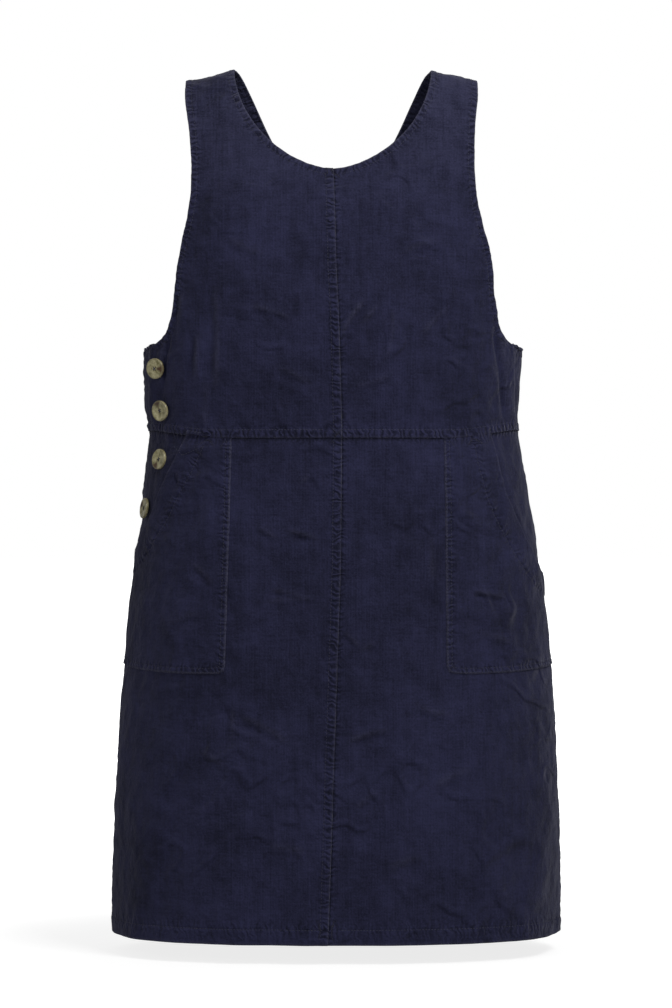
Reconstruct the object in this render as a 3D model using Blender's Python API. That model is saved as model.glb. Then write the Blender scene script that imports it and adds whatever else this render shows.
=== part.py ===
"""Pinafore dress in needlecord, kept in the hollow form that it has when it is worn.

Metres, +Z up. The front of the dress faces -Y and the wearer's left is +X.
The origin lies on the shoulder line, midway between the two straps.

Every cloth piece is a wall laid on one form, whose front and back half each have their own
coordinates:
  along  how far down the half's centre line a point is from the shoulder line;
  girth  how far round the ring at that level it is from the centre front or centre back,
         positive towards the wearer's left.
"""

import math

import bmesh
import bpy
import numpy as np
from mathutils import Quaternion, Vector
from mathutils.bvhtree import BVHTree

# Cloth and seams
CLOTH = 0.0015
STRAP_CLOTH = 0.0020
SEAM_GAP = 0.0006
LAYER_GAP = 0.0004

# The form: one row for each level, from the shoulder line down to the hem
FORM_COLUMNS = ("height", "half_width", "front", "back")
FORM = [
    (0.000, 0.208, 0.000, 0.000),  # shoulder line
    (-0.006, 0.208, 0.022, 0.020),
    (-0.026, 0.208, 0.044, 0.040),
    (-0.058, 0.208, 0.062, 0.058),
    (-0.105, 0.208, 0.084, 0.074),  # neck point
    (-0.165, 0.208, 0.108, 0.086),
    (-0.230, 0.208, 0.124, 0.095),  # bust
    (-0.305, 0.208, 0.130, 0.099),  # underarm
    (-0.350, 0.205, 0.128, 0.098),
    (-0.392, 0.2025, 0.125, 0.096),  # waist
    (-0.446, 0.2095, 0.128, 0.103),
    (-0.534, 0.222, 0.134, 0.118),  # hip
    (-0.666, 0.2355, 0.140, 0.130),
    (-0.798, 0.243, 0.145, 0.137),
    (-0.941, 0.245, 0.148, 0.140),  # hem
]
SQUARENESS = 2.4  # 2 makes each ring an ellipse, more makes it squarer
SHOULDER_SLOPE = 0.236  # the straps drop outwards at this rate on top of the shoulders
SHOULDER_MIDDLE = 0.133
SHOULDER_REACH = 0.090  # how far down the form the slope dies out

# Levels
UNDERARM = -0.305
WAIST_SIDE = -0.392
WAIST_DIP = 0.0096
HEM = -0.941
BACK_TOP_SIDE = -0.305
BACK_TOP_RISE = 0.016

# The centre front seam leans over the figure's middle
SEAM_LEAN_COLUMNS = ("height", "x")
SEAM_LEAN = [(-0.105, 0.006), (-0.400, 0.011), (-0.560, 0.009), (-0.700, 0.003), (-0.941, -0.005)]

# Neckline and armhole
NECK_HALF_WIDTH = 0.1075
NECK_DROP = 0.111
NECK_ROUNDNESS = 1.75
ARMHOLE_MIDDLE = -0.140  # where the armhole runs most nearly upright
SEAM_MATCH = -0.315  # the level on the centre front seam that lies across from the underarm
ARMHOLE_COLUMNS = ("x", "height")
ARMHOLE = [
    (0.2080, -0.305),
    (0.1985, -0.301),
    (0.1850, -0.291),
    (0.1780, -0.277),
    (0.1730, -0.252),
    (0.1665, -0.201),
    (0.1560, -0.152),
    (0.1530, -0.110),
    (0.1550, -0.064),
    (0.1590, -0.028),
    (0.1590, 0.000),
]

# Straps, which cross on the back
STRAP_TUCK = 0.012  # how far their ends reach down inside the back bodice
STRAP_DEPTH = STRAP_CLOTH + 0.0010  # how far inside the form they lie
STRAP_LAND_INNER = -0.064
STRAP_LAND_OUTER = -0.014
CROSSING_LIFT = STRAP_CLOTH + 0.0010
CROSSING_START = 0.50  # shares of the way down at which the upper strap lifts and drops again
CROSSING_END = 0.93
CROSSING_RISE = 0.12
CROSSING_FALL = 0.033
STRAP_SINK = 0.20  # the share of the way over which they sink to their depth

# Patch pockets, as seen from straight ahead. half is 1 on the wearer's left.
POCKET_COLUMNS = ("name", "half", "inner_top", "inner_bottom", "mouth_top", "mouth_end", "mouth_bow")
POCKETS = [
    ("pocket_left", 1, 0.1185, 0.1207, 0.170, -0.548, 0.009),
    ("pocket_right", -1, 0.1080, 0.1157, 0.156, -0.523, 0.000),
]
POCKET_BOTTOM = -0.652
POCKET_SIDE_BOTTOM = -0.645
POCKET_CORNER = 0.009
POCKET_LIFT = CLOTH + LAYER_GAP
OUTLINE_MARGIN = 0.050  # how far the trimming outline runs past the side and the waist

# Side fastening on the wearer's right
STAND_WIDTH = 0.034
STAND_BEHIND_SEAM = 0.010
STAND_TOP_DROP = 0.004
STAND_BOTTOM = -0.515
STAND_DEPTH = 0.0012
BUTTON_RADIUS = 0.0112
BUTTON_THICK = 0.0032
BUTTON_EDGE = 0.0009
BUTTON_DISH_RADIUS = 0.0062
BUTTON_DISH_DEPTH = 0.0008
BUTTON_HOLE_RADIUS = 0.0010
BUTTON_HOLE_PITCH = 0.0034
BUTTON_SIDES = 28
BUTTON_COLUMNS = ("x", "height", "tilt")  # degrees forwards off the way the cloth faces
BUTTONS = [
    (-0.1895, -0.325, 8),
    (-0.1810, -0.371, 8),
    (-0.1895, -0.424, 6),
    (-0.2072, -0.477, 0),
]

# The largest folds: a rounded ridge down the cloth, outwards where depth is positive.
# Girth and height are those of its upper and lower end.
FOLD_COLUMNS = ("side", "girth_top", "top", "girth_bottom", "bottom", "width", "depth")
FOLDS = [
    ("front", -0.2150, -0.285, -0.2240, -0.400, 0.012, 0.0035),
    ("front", -0.2380, -0.300, -0.2420, -0.398, 0.012, -0.0030),
    ("front", 0.2130, -0.285, 0.2260, -0.400, 0.012, 0.0040),
    ("front", 0.2340, -0.300, 0.2430, -0.398, 0.012, -0.0040),
    ("front", -0.0900, -0.700, -0.1300, -0.960, 0.034, 0.0030),
    ("front", 0.1500, -0.690, 0.1900, -0.960, 0.030, 0.0035),
    ("back", -0.1400, -0.560, -0.1650, -0.970, 0.038, 0.0060),
    ("back", -0.0450, -0.620, -0.0550, -0.970, 0.034, -0.0045),
    ("back", 0.0500, -0.580, 0.0600, -0.970, 0.036, 0.0055),
    ("back", 0.1500, -0.600, 0.1800, -0.970, 0.036, -0.0050),
]
FOLD_FADE = 0.22  # the share of its length over which a fold dies out at each end

NAVY = (0.022, 0.024, 0.055, 1.0)
HORN = (0.46, 0.42, 0.27, 1.0)

# Fineness of the shapes
CROWDING = 0.30
NUDGE = 0.0015
STEP_IN = 0.0001
RING_SAMPLES = 361
LINE_SAMPLES = 1201


def curve_through(at, knots, values):
    """A smooth curve through the knots, as a cubic with finite-difference slopes."""
    slopes = np.gradient(values, knots)
    i = np.clip(np.searchsorted(knots, at) - 1, 0, len(knots) - 2)
    step = knots[i + 1] - knots[i]
    t = (at - knots[i]) / step
    return (
        values[i] * (1 + 2 * t) * (1 - t) ** 2
        + values[i + 1] * t * t * (3 - 2 * t)
        + slopes[i] * step * t * (1 - t) ** 2
        + slopes[i + 1] * step * t * t * (t - 1)
    )


def smooth_step(low, high, at):
    t = np.clip((at - low) / (high - low), 0.0, 1.0)
    return t * t * (3 - 2 * t)


def centre_line(depth_column):
    """The form's centre line over the front or the back, sampled closely by its length."""
    form = np.array(FORM)
    height, depth = form[:, 0], form[:, FORM_COLUMNS.index(depth_column)]
    run = np.concatenate([[0], np.cumsum(np.hypot(np.diff(height), np.diff(depth)))])
    along = np.linspace(0, run[-1], LINE_SAMPLES)
    return {
        "along": along,
        "height": curve_through(along, run, height),
        "depth": np.maximum(curve_through(along, run, depth), 0.0),
        "half_width": curve_through(along, run, form[:, 1]),
    }


LINES = {"front": centre_line("front"), "back": centre_line("back")}
RING_TURN = np.linspace(0, math.pi / 2, RING_SAMPLES)
RING_X = np.sin(RING_TURN) ** (2 / SQUARENESS)
RING_Y = np.cos(RING_TURN) ** (2 / SQUARENESS)


def side_sign(side):
    return 1 if side == "front" else -1


def along_at(side, height):
    """How far down the centre line a height is. Heights fall steadily along it."""
    line = LINES[side]
    return float(np.interp(-height, -line["height"], line["along"]))


def level(side, along):
    """(height, depth, half_width) of the ring this far down."""
    line = LINES[side]
    return tuple(float(np.interp(along, line["along"], line[k])) for k in ("height", "depth", "half_width"))


def quarter_ring(side, along):
    """(girths, x, forward distance) from the centre to the side of the ring at this level."""
    _, depth, half_width = level(side, along)
    x, forward = half_width * RING_X, depth * RING_Y
    girths = np.concatenate([[0], np.cumsum(np.hypot(np.diff(x), np.diff(forward)))])
    return girths, x, forward


def half_girth(side, along):
    return float(quarter_ring(side, along)[0][-1])


def girth_at(side, along, x):
    """The girth at which the ring at this level reaches x."""
    girths, ring_x, _ = quarter_ring(side, along)
    return math.copysign(float(np.interp(abs(x), ring_x, girths)), x)


def bare_point(side, girth, along):
    """A point of the form without its folds. Past the side seam it goes on round the other half."""
    girths, ring_x, forward = quarter_ring(side, along)
    height = level(side, along)[0]
    beyond = abs(girth) - girths[-1]
    toward = -side_sign(side)
    if beyond > 0:
        other = "back" if side == "front" else "front"
        girths, ring_x, forward = quarter_ring(other, along_at(other, height))
        reached = girths[-1] - beyond
        toward = -toward
    else:
        reached = abs(girth)
    x = math.copysign(float(np.interp(reached, girths, ring_x)), girth)
    y = toward * float(np.interp(reached, girths, forward))
    near_shoulder = 1 - float(smooth_step(0.0, SHOULDER_REACH, along))
    return np.array([x, y, height - SHOULDER_SLOPE * (abs(x) - SHOULDER_MIDDLE) * near_shoulder])


def normal_at(point, side, girth, along):
    """The outward normal of a form, from points a little to each side."""
    low = max(along - NUDGE, 0.0)
    across = point(side, girth + NUDGE, along) - point(side, girth - NUDGE, along)
    down = point(side, girth, along + NUDGE) - point(side, girth, low)
    normal = np.cross(across, down) * -side_sign(side)
    return normal / np.linalg.norm(normal)


def fold_height(side, girth, height):
    """How far the folds lift the cloth off the bare form."""
    lift = 0.0
    for fold_side, girth_top, top, girth_bottom, bottom, width, depth in FOLDS:
        if fold_side != side or not bottom < height < top:
            continue
        share = (top - height) / (top - bottom)
        middle = girth_top + (girth_bottom - girth_top) * share
        off = (girth - middle) / width
        dies_out = smooth_step(0, FOLD_FADE, share) * smooth_step(0, FOLD_FADE, 1 - share)
        lift += depth * math.exp(-off * off) * float(dies_out)
    return lift


def form_point(side, girth, along):
    """A point of the form with its folds."""
    lift = fold_height(side, girth, level(side, along)[0])
    bare = bare_point(side, girth, along)
    if lift == 0.0:
        return bare
    return bare + lift * normal_at(bare_point, side, girth, along)


def laid_point(side, girth, along, off):
    """A point this far off the form, outwards."""
    return form_point(side, girth, along) + off * normal_at(form_point, side, girth, along)


def resampled(points, count):
    """Evenly spaced points along a polyline."""
    points = np.array(points, float)
    run = np.concatenate([[0], np.cumsum(np.linalg.norm(np.diff(points, axis=0), axis=1))])
    at = np.linspace(0, run[-1], count)
    return np.stack([np.interp(at, run, points[:, k]) for k in range(2)], axis=1)


def edge_of(stretches):
    """An edge made of stretches, each (points, steps), joined end to end."""
    rows = [resampled(points, steps + 1) for points, steps in stretches]
    return np.concatenate([rows[0]] + [r[1:] for r in rows[1:]])


def filled_patch(left, right, bottom, top):
    """A grid of (girth, along) whose four edges are the four given ones."""
    v = np.linspace(0, 1, len(left))[:, None, None]
    u = np.linspace(0, 1, len(bottom))[None, :, None]
    sides = (1 - u) * left[:, None] + u * right[:, None]
    ends = (1 - v) * bottom[None] + v * top[None]
    corners = (1 - v) * ((1 - u) * left[0] + u * right[0]) + v * ((1 - u) * left[-1] + u * right[-1])
    return sides + ends - corners


def material(name, colour, roughness, sheen):
    made = bpy.data.materials.new(name)
    made.use_nodes = True
    shader = made.node_tree.nodes["Principled BSDF"]
    shader.inputs["Base Color"].default_value = colour
    shader.inputs["Roughness"].default_value = roughness
    shader.inputs["Metallic"].default_value = 0.0
    shader.inputs["Sheen Weight"].default_value = sheen
    made.diffuse_color = colour
    return made


def add_object(name, bm, made_of):
    mesh = bpy.data.meshes.new(name)
    bmesh.ops.recalc_face_normals(bm, faces=bm.faces)
    bm.to_mesh(mesh)
    bm.free()
    mesh.materials.append(made_of)
    mesh.shade_smooth()
    mesh.set_sharp_from_angle(angle=math.radians(45))
    piece = bpy.data.objects.new(name, mesh)
    bpy.context.scene.collection.objects.link(piece)
    piece.parent = DRESS
    return piece


def cloth_wall(name, side, grid, inner, outer):
    """A wall of cloth between two distances off the form, over a grid of (girth, along).
    The distances are numbers, or functions of a grid row's share of the way down."""
    rows, columns = grid.shape[:2]
    bm = bmesh.new()
    bmesh.ops.create_grid(bm, x_segments=columns - 1, y_segments=rows - 1, size=1.0)
    bm.verts.ensure_lookup_table()
    girth_layer = bm.verts.layers.float.new("girth")
    along_layer = bm.verts.layers.float.new("along")
    share_layer = bm.verts.layers.float.new("share")
    for index, vert in enumerate(bm.verts):
        row, column = divmod(index, columns)
        vert[girth_layer], vert[along_layer] = grid[row, column]
        vert[share_layer] = row / (rows - 1)
    raised = bmesh.ops.extrude_face_region(bm, geom=bm.faces[:])
    raised_verts = {item for item in raised["geom"] if isinstance(item, bmesh.types.BMVert)}
    for vert in bm.verts:
        off = outer if vert in raised_verts else inner
        off = off(vert[share_layer]) if callable(off) else off
        vert.co = laid_point(side, vert[girth_layer], vert[along_layer], off)
    return add_object(name, bm, CORD_CLOTH)


def crowded(across):
    """Shares of the way to the side that crowd near it, where the form turns tightest."""
    return across * (1 + CROWDING - CROWDING * across * across)


def mirrored(grid):
    """The same grid on the other half of the dress."""
    return grid * np.array([-1.0, 1.0])


# ---------------------------------------------------------------- lines of the pattern


def front_waist(girth):
    """Down the front centre line to the waist seam, which dips towards the centre."""
    share = 1 - smooth_step(0.12, 0.235, abs(girth))
    return along_at("front", WAIST_SIDE - WAIST_DIP * float(share))


def seam_lean(along):
    """The girth of the centre front seam at this level."""
    height = level("front", along)[0]
    heights, xs = zip(*SEAM_LEAN[::-1])
    return girth_at("front", along, float(np.interp(height, heights, xs)))


def neckline(half, lean):
    """From the centre of the neckline up to the inner edge of the strap, on one half."""
    points = []
    for turn in np.linspace(math.pi / 2, 0, 25):
        x = NECK_HALF_WIDTH * max(math.cos(turn), 0.0) ** (2 / NECK_ROUNDNESS)
        along = along_at("front", -NECK_DROP * math.sin(turn) ** (2 / NECK_ROUNDNESS))
        from_centre = girth_at("front", along, x) if x > 0 else 0.0
        points.append((max(from_centre, half * lean + SEAM_GAP / 2), along))
    return points


def armhole(low, high):
    """The armhole edge between two heights, from the underarm upwards."""
    heights = [row[1] for row in ARMHOLE]
    xs = [row[0] for row in ARMHOLE]
    at = np.unique(np.concatenate([np.linspace(low, high, 14), [h for h in heights if low < h < high]]))
    points = []
    for height in at:
        along = along_at("front", height)
        points.append((girth_at("front", along, float(np.interp(height, heights, xs))), along))
    return points


def strap_edges(share):
    """x of the strap's inner and outer edge, at a share of its way down the back."""
    inner = NECK_HALF_WIDTH + (STRAP_LAND_INNER - NECK_HALF_WIDTH) * share
    outer = ARMHOLE[-1][0] + (STRAP_LAND_OUTER - ARMHOLE[-1][0]) * share
    return inner, outer


def strap_length():
    return along_at("back", BACK_TOP_SIDE + BACK_TOP_RISE - STRAP_TUCK)


# ---------------------------------------------------------------- cloth pieces


def bodice_front(name, half):
    """Half of the front bodice with its strap, in one from the waist to the shoulder line."""
    neck_along = along_at("front", -NECK_DROP)
    steps_to_underarm, steps_to_neck, steps_to_shoulder = 4, 8, 7
    columns = 14

    def centre(along):
        return half * seam_lean(along) + SEAM_GAP / 2

    def side(along):
        return half_girth("front", along) - SEAM_GAP / 2

    waist_centre = front_waist(0.0) - SEAM_GAP / 2
    waist_side = along_at("front", WAIST_SIDE) - SEAM_GAP / 2
    match_along = along_at("front", SEAM_MATCH)
    underarm_along = along_at("front", UNDERARM)
    lower_centre = [(centre(a), a) for a in np.linspace(waist_centre, match_along, 9)]
    upper_centre = [(centre(a), a) for a in np.linspace(match_along, neck_along, 9)]
    lower_side = [(side(a), a) for a in np.linspace(waist_side, underarm_along, 9)]
    left = edge_of([
        (lower_centre, steps_to_underarm),
        (upper_centre, steps_to_neck),
        (neckline(half, seam_lean(neck_along)), steps_to_shoulder),
    ])
    right = edge_of([
        (lower_side, steps_to_underarm),
        (armhole(UNDERARM, ARMHOLE_MIDDLE), steps_to_neck),
        (armhole(ARMHOLE_MIDDLE, 0.0), steps_to_shoulder),
    ])
    across = crowded(np.linspace(0, 1, columns + 1))
    bottom = np.array([
        (g, front_waist(g) - SEAM_GAP / 2)
        for g in centre(waist_centre) + across * (side(waist_side) - centre(waist_centre))
    ])
    bottom[0], bottom[-1] = left[0], right[0]
    top = left[-1] + across[:, None] * (right[-1] - left[-1])
    grid = filled_patch(left, right, bottom, top)
    from_shoulder_down = grid[::-1] if half > 0 else mirrored(grid[::-1])
    return cloth_wall(name, "front", from_shoulder_down, 0.0, CLOTH)


def skirt_front_grid(half):
    """Half of the front skirt, from the waist seam down to the hem."""
    rows, columns = 16, 15
    hem_along = along_at("front", HEM)
    grid = np.zeros((rows + 1, columns + 1, 2))
    for column in range(columns + 1):
        across = crowded(column / columns)
        for row in range(rows + 1):
            down = row / rows
            rough = along_at("front", WAIST_SIDE) * (1 - down) + hem_along * down
            inner = half * seam_lean(rough) + SEAM_GAP / 2
            outer = half_girth("front", rough) - SEAM_GAP / 2
            girth = inner + (outer - inner) * across
            start = front_waist(girth) + SEAM_GAP / 2
            grid[row, column] = (girth, start + (hem_along - start) * down)
    return grid if half > 0 else mirrored(grid)


def skirt_front(name, half):
    return cloth_wall(name, "front", skirt_front_grid(half), 0.0, CLOTH)


def back_top(across):
    """The height of the back bodice's top edge, which rises from the sides to the middle."""
    return BACK_TOP_SIDE + BACK_TOP_RISE * (1 - across * across)


def back_piece(name, top, bottom, rows, columns):
    """A back piece from side seam to side seam, between the edge top(across) and a level."""
    grid = np.zeros((rows + 1, columns + 1, 2))
    for row in range(rows + 1):
        for column in range(columns + 1):
            across = crowded(2 * column / columns - 1)
            height = top(across) + (bottom - top(across)) * row / rows
            along = along_at("back", height)
            grid[row, column] = (across * (half_girth("back", along) - SEAM_GAP / 2), along)
    return cloth_wall(name, "back", grid, 0.0, CLOTH)


def back_strap(name, half):
    """One strap from the shoulder line, across the back, to inside the back bodice's top edge."""
    rows, columns = 28, 4
    length = strap_length()
    grid = np.zeros((rows + 1, columns + 1, 2))
    for row in range(rows + 1):
        along = SEAM_GAP + (length - SEAM_GAP) * row / rows
        inner, outer = strap_edges(along / length)
        for column in range(columns + 1):
            x = inner + (outer - inner) * column / columns
            grid[row, column] = (half * girth_at("back", along, x), along)

    def under_face(share):
        """Both straps sink inside the form, and the left one runs over the right one."""
        sunk = -STRAP_DEPTH * float(smooth_step(0.0, STRAP_SINK, share))
        rise = float(smooth_step(CROSSING_START, CROSSING_START + CROSSING_RISE, share))
        fall = float(smooth_step(CROSSING_END, CROSSING_END + CROSSING_FALL, share))
        return sunk + (CROSSING_LIFT * (rise - fall) if half > 0 else 0.0)

    def outer_face(share):
        return under_face(share) + STRAP_CLOTH

    return cloth_wall(name, "back", grid, under_face, outer_face)


def pocket_outline(half, inner_top, inner_bottom, mouth_top, mouth_end, mouth_bow):
    """The pocket's outline from straight ahead, (x, height), running past the waist and the side."""
    side = level("front", along_at("front", mouth_end))[2]
    past_side = side + OUTLINE_MARGIN
    above_waist = WAIST_SIDE + OUTLINE_MARGIN
    outline = [(past_side, POCKET_SIDE_BOTTOM), (past_side, mouth_end)]
    for share in np.linspace(1, 0, 7):
        x = mouth_top + (side - mouth_top) * share - mouth_bow * math.sin(math.pi * share)
        outline.append((x, WAIST_SIDE + (mouth_end - WAIST_SIDE) * share))
    outline += [(mouth_top, above_waist), (inner_top, above_waist), (inner_top, WAIST_SIDE)]
    for turn in np.linspace(math.pi, 1.5 * math.pi, 4):
        x = inner_bottom + POCKET_CORNER * (1 + math.cos(turn))
        outline.append((x, POCKET_BOTTOM + POCKET_CORNER * (1 + math.sin(turn))))
    return [(half * x, height) for x, height in outline]


def pocket(name, half, *shape):
    """A patch made from the front skirt's own points, moved out and trimmed to its outline."""
    grid = skirt_front_grid(half)
    needed = int(np.argmax(grid[:, 0, 1] > along_at("front", POCKET_BOTTOM))) + 1
    patch = cloth_wall(name, "front", grid[:needed], POCKET_LIFT, POCKET_LIFT + CLOTH)
    bm = bmesh.new()
    behind, depth = OUTLINE_MARGIN, FORM[-1][FORM_COLUMNS.index("front")] + 2 * OUTLINE_MARGIN
    outline = [bm.verts.new((x, behind, height)) for x, height in pocket_outline(half, *shape)]
    face = bm.faces.new(outline)
    moved = bmesh.ops.extrude_face_region(bm, geom=[face])["geom"]
    front_verts = [item for item in moved if isinstance(item, bmesh.types.BMVert)]
    bmesh.ops.translate(bm, verts=front_verts, vec=(0, -depth, 0))
    cutter = add_object(name + "_outline", bm, CORD_CLOTH)
    cutter.hide_render = True
    cutter.display_type = "WIRE"
    trim = patch.modifiers.new("outline", "BOOLEAN")
    trim.operation = "INTERSECT"
    trim.object = cutter
    return patch


def button_stand(name):
    """The strip behind the side opening, sewn inside the back's edge, that carries the buttons."""
    rows, columns = 8, 5
    grid = np.zeros((rows + 1, columns + 1, 2))
    top = UNDERARM - STAND_TOP_DROP
    for row in range(rows + 1):
        along = along_at("front", top + (STAND_BOTTOM - top) * row / rows)
        seam = half_girth("front", along)
        for column in range(columns + 1):
            across = column / columns
            grid[row, column] = (-(seam + STAND_BEHIND_SEAM - STAND_WIDTH * across), along)
    return cloth_wall(name, "front", grid, -(STAND_DEPTH + CLOTH), -STAND_DEPTH)


# ---------------------------------------------------------------- buttons


def button_blank():
    """A round button with a raised rim and a dished middle, its back on z = 0."""
    profile = [
        (0.0, BUTTON_THICK - BUTTON_DISH_DEPTH),
        (BUTTON_DISH_RADIUS * 0.82, BUTTON_THICK - BUTTON_DISH_DEPTH),
        (BUTTON_DISH_RADIUS, BUTTON_THICK - BUTTON_DISH_DEPTH * 0.5),
        (BUTTON_DISH_RADIUS * 1.2, BUTTON_THICK),
        (BUTTON_RADIUS - BUTTON_EDGE, BUTTON_THICK),
        (BUTTON_RADIUS - BUTTON_EDGE * 0.3, BUTTON_THICK - BUTTON_EDGE * 0.3),
        (BUTTON_RADIUS, BUTTON_THICK - BUTTON_EDGE),
        (BUTTON_RADIUS, BUTTON_EDGE),
        (BUTTON_RADIUS - BUTTON_EDGE, 0.0),
        (0.0, 0.0),
    ]
    bm = bmesh.new()
    verts = [bm.verts.new((radius, 0.0, z)) for radius, z in profile]
    edges = [bm.edges.new(pair) for pair in zip(verts, verts[1:])]
    bmesh.ops.spin(
        bm, geom=verts + edges, cent=(0, 0, 0), axis=(0, 0, 1),
        angle=2 * math.pi, steps=BUTTON_SIDES, use_merge=True,
    )
    bmesh.ops.remove_doubles(bm, verts=bm.verts, dist=1e-6)
    return bm


def hole_cutter(name):
    """Four round pins, in one mesh, that cut the thread holes."""
    bm = bmesh.new()
    for turn in range(4):
        angle = math.pi / 4 + turn * math.pi / 2
        reach = BUTTON_HOLE_PITCH / math.sqrt(2)
        made = bmesh.ops.create_cone(
            bm, cap_ends=True, segments=8, radius1=BUTTON_HOLE_RADIUS,
            radius2=BUTTON_HOLE_RADIUS, depth=4 * BUTTON_THICK,
        )
        place = (reach * math.cos(angle), reach * math.sin(angle), 0)
        bmesh.ops.translate(bm, verts=made["verts"], vec=place)
    cutter = add_object(name, bm, HORN_RESIN)
    cutter.hide_render = True
    cutter.display_type = "WIRE"
    return cutter


def stand_off(cloth, seat, facing):
    """How far in front of its seat a button just clears the cloth that it is sewn to."""
    tree = BVHTree.FromPolygons(
        [v.co for v in cloth.data.vertices], [p.vertices for p in cloth.data.polygons]
    )
    across = facing.orthogonal().normalized()
    back_points = [seat]
    for turn in np.linspace(0, 2 * math.pi, BUTTON_SIDES, endpoint=False):
        spoke = Quaternion(facing, turn) @ across
        back_points += [seat + spoke * BUTTON_RADIUS * reach for reach in (0.35, 0.7, 1.0)]
    for off in np.arange(BUTTON_RADIUS, 0.0, -STEP_IN):
        if min(tree.find_nearest(point + facing * off)[3] for point in back_points) < LAYER_GAP:
            return off + STEP_IN
    return 0.0


def button(name, x, height, tilt, cloth, cutter):
    """A button on the front's edge over the side opening, tilted on its thread."""
    piece = add_object(name, button_blank(), HORN_RESIN)
    drill = piece.modifiers.new("thread holes", "BOOLEAN")
    drill.operation = "DIFFERENCE"
    drill.object = cutter
    along = along_at("front", height)
    girth = girth_at("front", along, x)
    seat = Vector(laid_point("front", girth, along, CLOTH))
    facing = Vector(normal_at(form_point, "front", girth, along))
    facing.rotate(Quaternion((0, 0, 1), math.radians(tilt)))
    piece.location = seat + facing * stand_off(cloth, seat, facing)
    piece.rotation_mode = "QUATERNION"
    piece.rotation_quaternion = facing.to_track_quat("Z", "Y")
    return piece


# ---------------------------------------------------------------- the dress

for leftover in list(bpy.data.objects):
    bpy.data.objects.remove(leftover)

DRESS = bpy.data.objects.new("pinafore_dress", None)
bpy.context.scene.collection.objects.link(DRESS)
CORD_CLOTH = material("navy needlecord", NAVY, 0.85, 0.5)
HORN_RESIN = material("horn resin", HORN, 0.35, 0.0)

bodice_front("bodice_front_left", 1)
right_bodice = bodice_front("bodice_front_right", -1)
skirt_front("skirt_front_left", 1)
right_skirt = skirt_front("skirt_front_right", -1)
back_piece("bodice_back", back_top, WAIST_SIDE + SEAM_GAP / 2, 4, 22)
back_piece("skirt_back", lambda across: WAIST_SIDE - SEAM_GAP / 2, HEM, 14, 32)
back_strap("strap_left", 1)
back_strap("strap_right", -1)
for row in POCKETS:
    pocket(*row)
button_stand("button_stand")
hole_pins = hole_cutter("hole_pins")
for number, (x, height, tilt) in enumerate(BUTTONS, start=1):
    cloth = right_bodice if height > WAIST_SIDE else right_skirt
    button(f"button_{number}", x, height, tilt, cloth, hole_pins)
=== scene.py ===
# Looks of the pinafore dress: needlecord panels with their seams, puckers and creases,
# the topstitching and four horn buttons. Metres, in the frame's own coordinates:
# the front faces -Y, the wearer's left is +X, the origin is mid shoulder line.

import math

import bpy
import numpy as np
from mathutils import Matrix, Vector


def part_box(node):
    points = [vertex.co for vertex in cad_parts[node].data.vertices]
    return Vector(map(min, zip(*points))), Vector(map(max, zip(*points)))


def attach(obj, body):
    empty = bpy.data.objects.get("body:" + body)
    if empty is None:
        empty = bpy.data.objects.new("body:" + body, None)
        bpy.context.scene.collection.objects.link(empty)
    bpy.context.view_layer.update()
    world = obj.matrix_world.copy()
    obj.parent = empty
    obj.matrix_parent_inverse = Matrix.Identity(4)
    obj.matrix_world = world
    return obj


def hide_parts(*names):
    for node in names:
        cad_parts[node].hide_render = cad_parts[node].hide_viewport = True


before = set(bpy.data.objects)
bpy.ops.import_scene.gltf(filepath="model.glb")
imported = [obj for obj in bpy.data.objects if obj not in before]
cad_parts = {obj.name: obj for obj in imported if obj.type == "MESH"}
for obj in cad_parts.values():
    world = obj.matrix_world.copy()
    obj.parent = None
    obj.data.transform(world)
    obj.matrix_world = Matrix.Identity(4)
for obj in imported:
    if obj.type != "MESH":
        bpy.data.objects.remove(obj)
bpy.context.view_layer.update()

bpy.ops.object.select_all(action="DESELECT")
print("frame loaded:", len(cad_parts), "nodes")

# The form under the cloth: height, half width, front and back depth of each level
formRows = np.array([
    (0.000, 0.208, 0.000, 0.000),   # shoulder line
    (-0.006, 0.208, 0.022, 0.020),
    (-0.026, 0.208, 0.044, 0.040),
    (-0.058, 0.208, 0.062, 0.058),
    (-0.105, 0.208, 0.084, 0.074),  # neck point
    (-0.165, 0.208, 0.108, 0.086),
    (-0.230, 0.208, 0.124, 0.095),
    (-0.305, 0.208, 0.130, 0.099),  # underarm
    (-0.350, 0.205, 0.128, 0.098),
    (-0.392, 0.2025, 0.125, 0.096), # waist
    (-0.446, 0.2095, 0.128, 0.103),
    (-0.534, 0.222, 0.134, 0.118),  # hip
    (-0.666, 0.2355, 0.140, 0.130),
    (-0.798, 0.243, 0.145, 0.137),
    (-0.941, 0.245, 0.148, 0.140),  # hem
])
form = {"squareness": 2.4, "shoulderSlope": 0.236, "shoulderMiddle": 0.133, "shoulderReach": 0.090}

levels = {
    "underarm": -0.305,
    "waistSide": -0.392,
    "waistDip": 0.0096,
    "hem": -0.941,
    "backTopSide": -0.305,
    "backTopRise": 0.016,
    "standTop": -0.309,
    "standBottom": -0.515,
}

# Sheet thickness and how far the outer face of each layer lies off the form
cloth = {
    "single": 0.0012,
    "double": 0.0022,
    "face": 0.0015,
    "pocketFace": 0.0031,
    "strapThick": 0.0018,
    "underlap": 0.0030,
}

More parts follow.
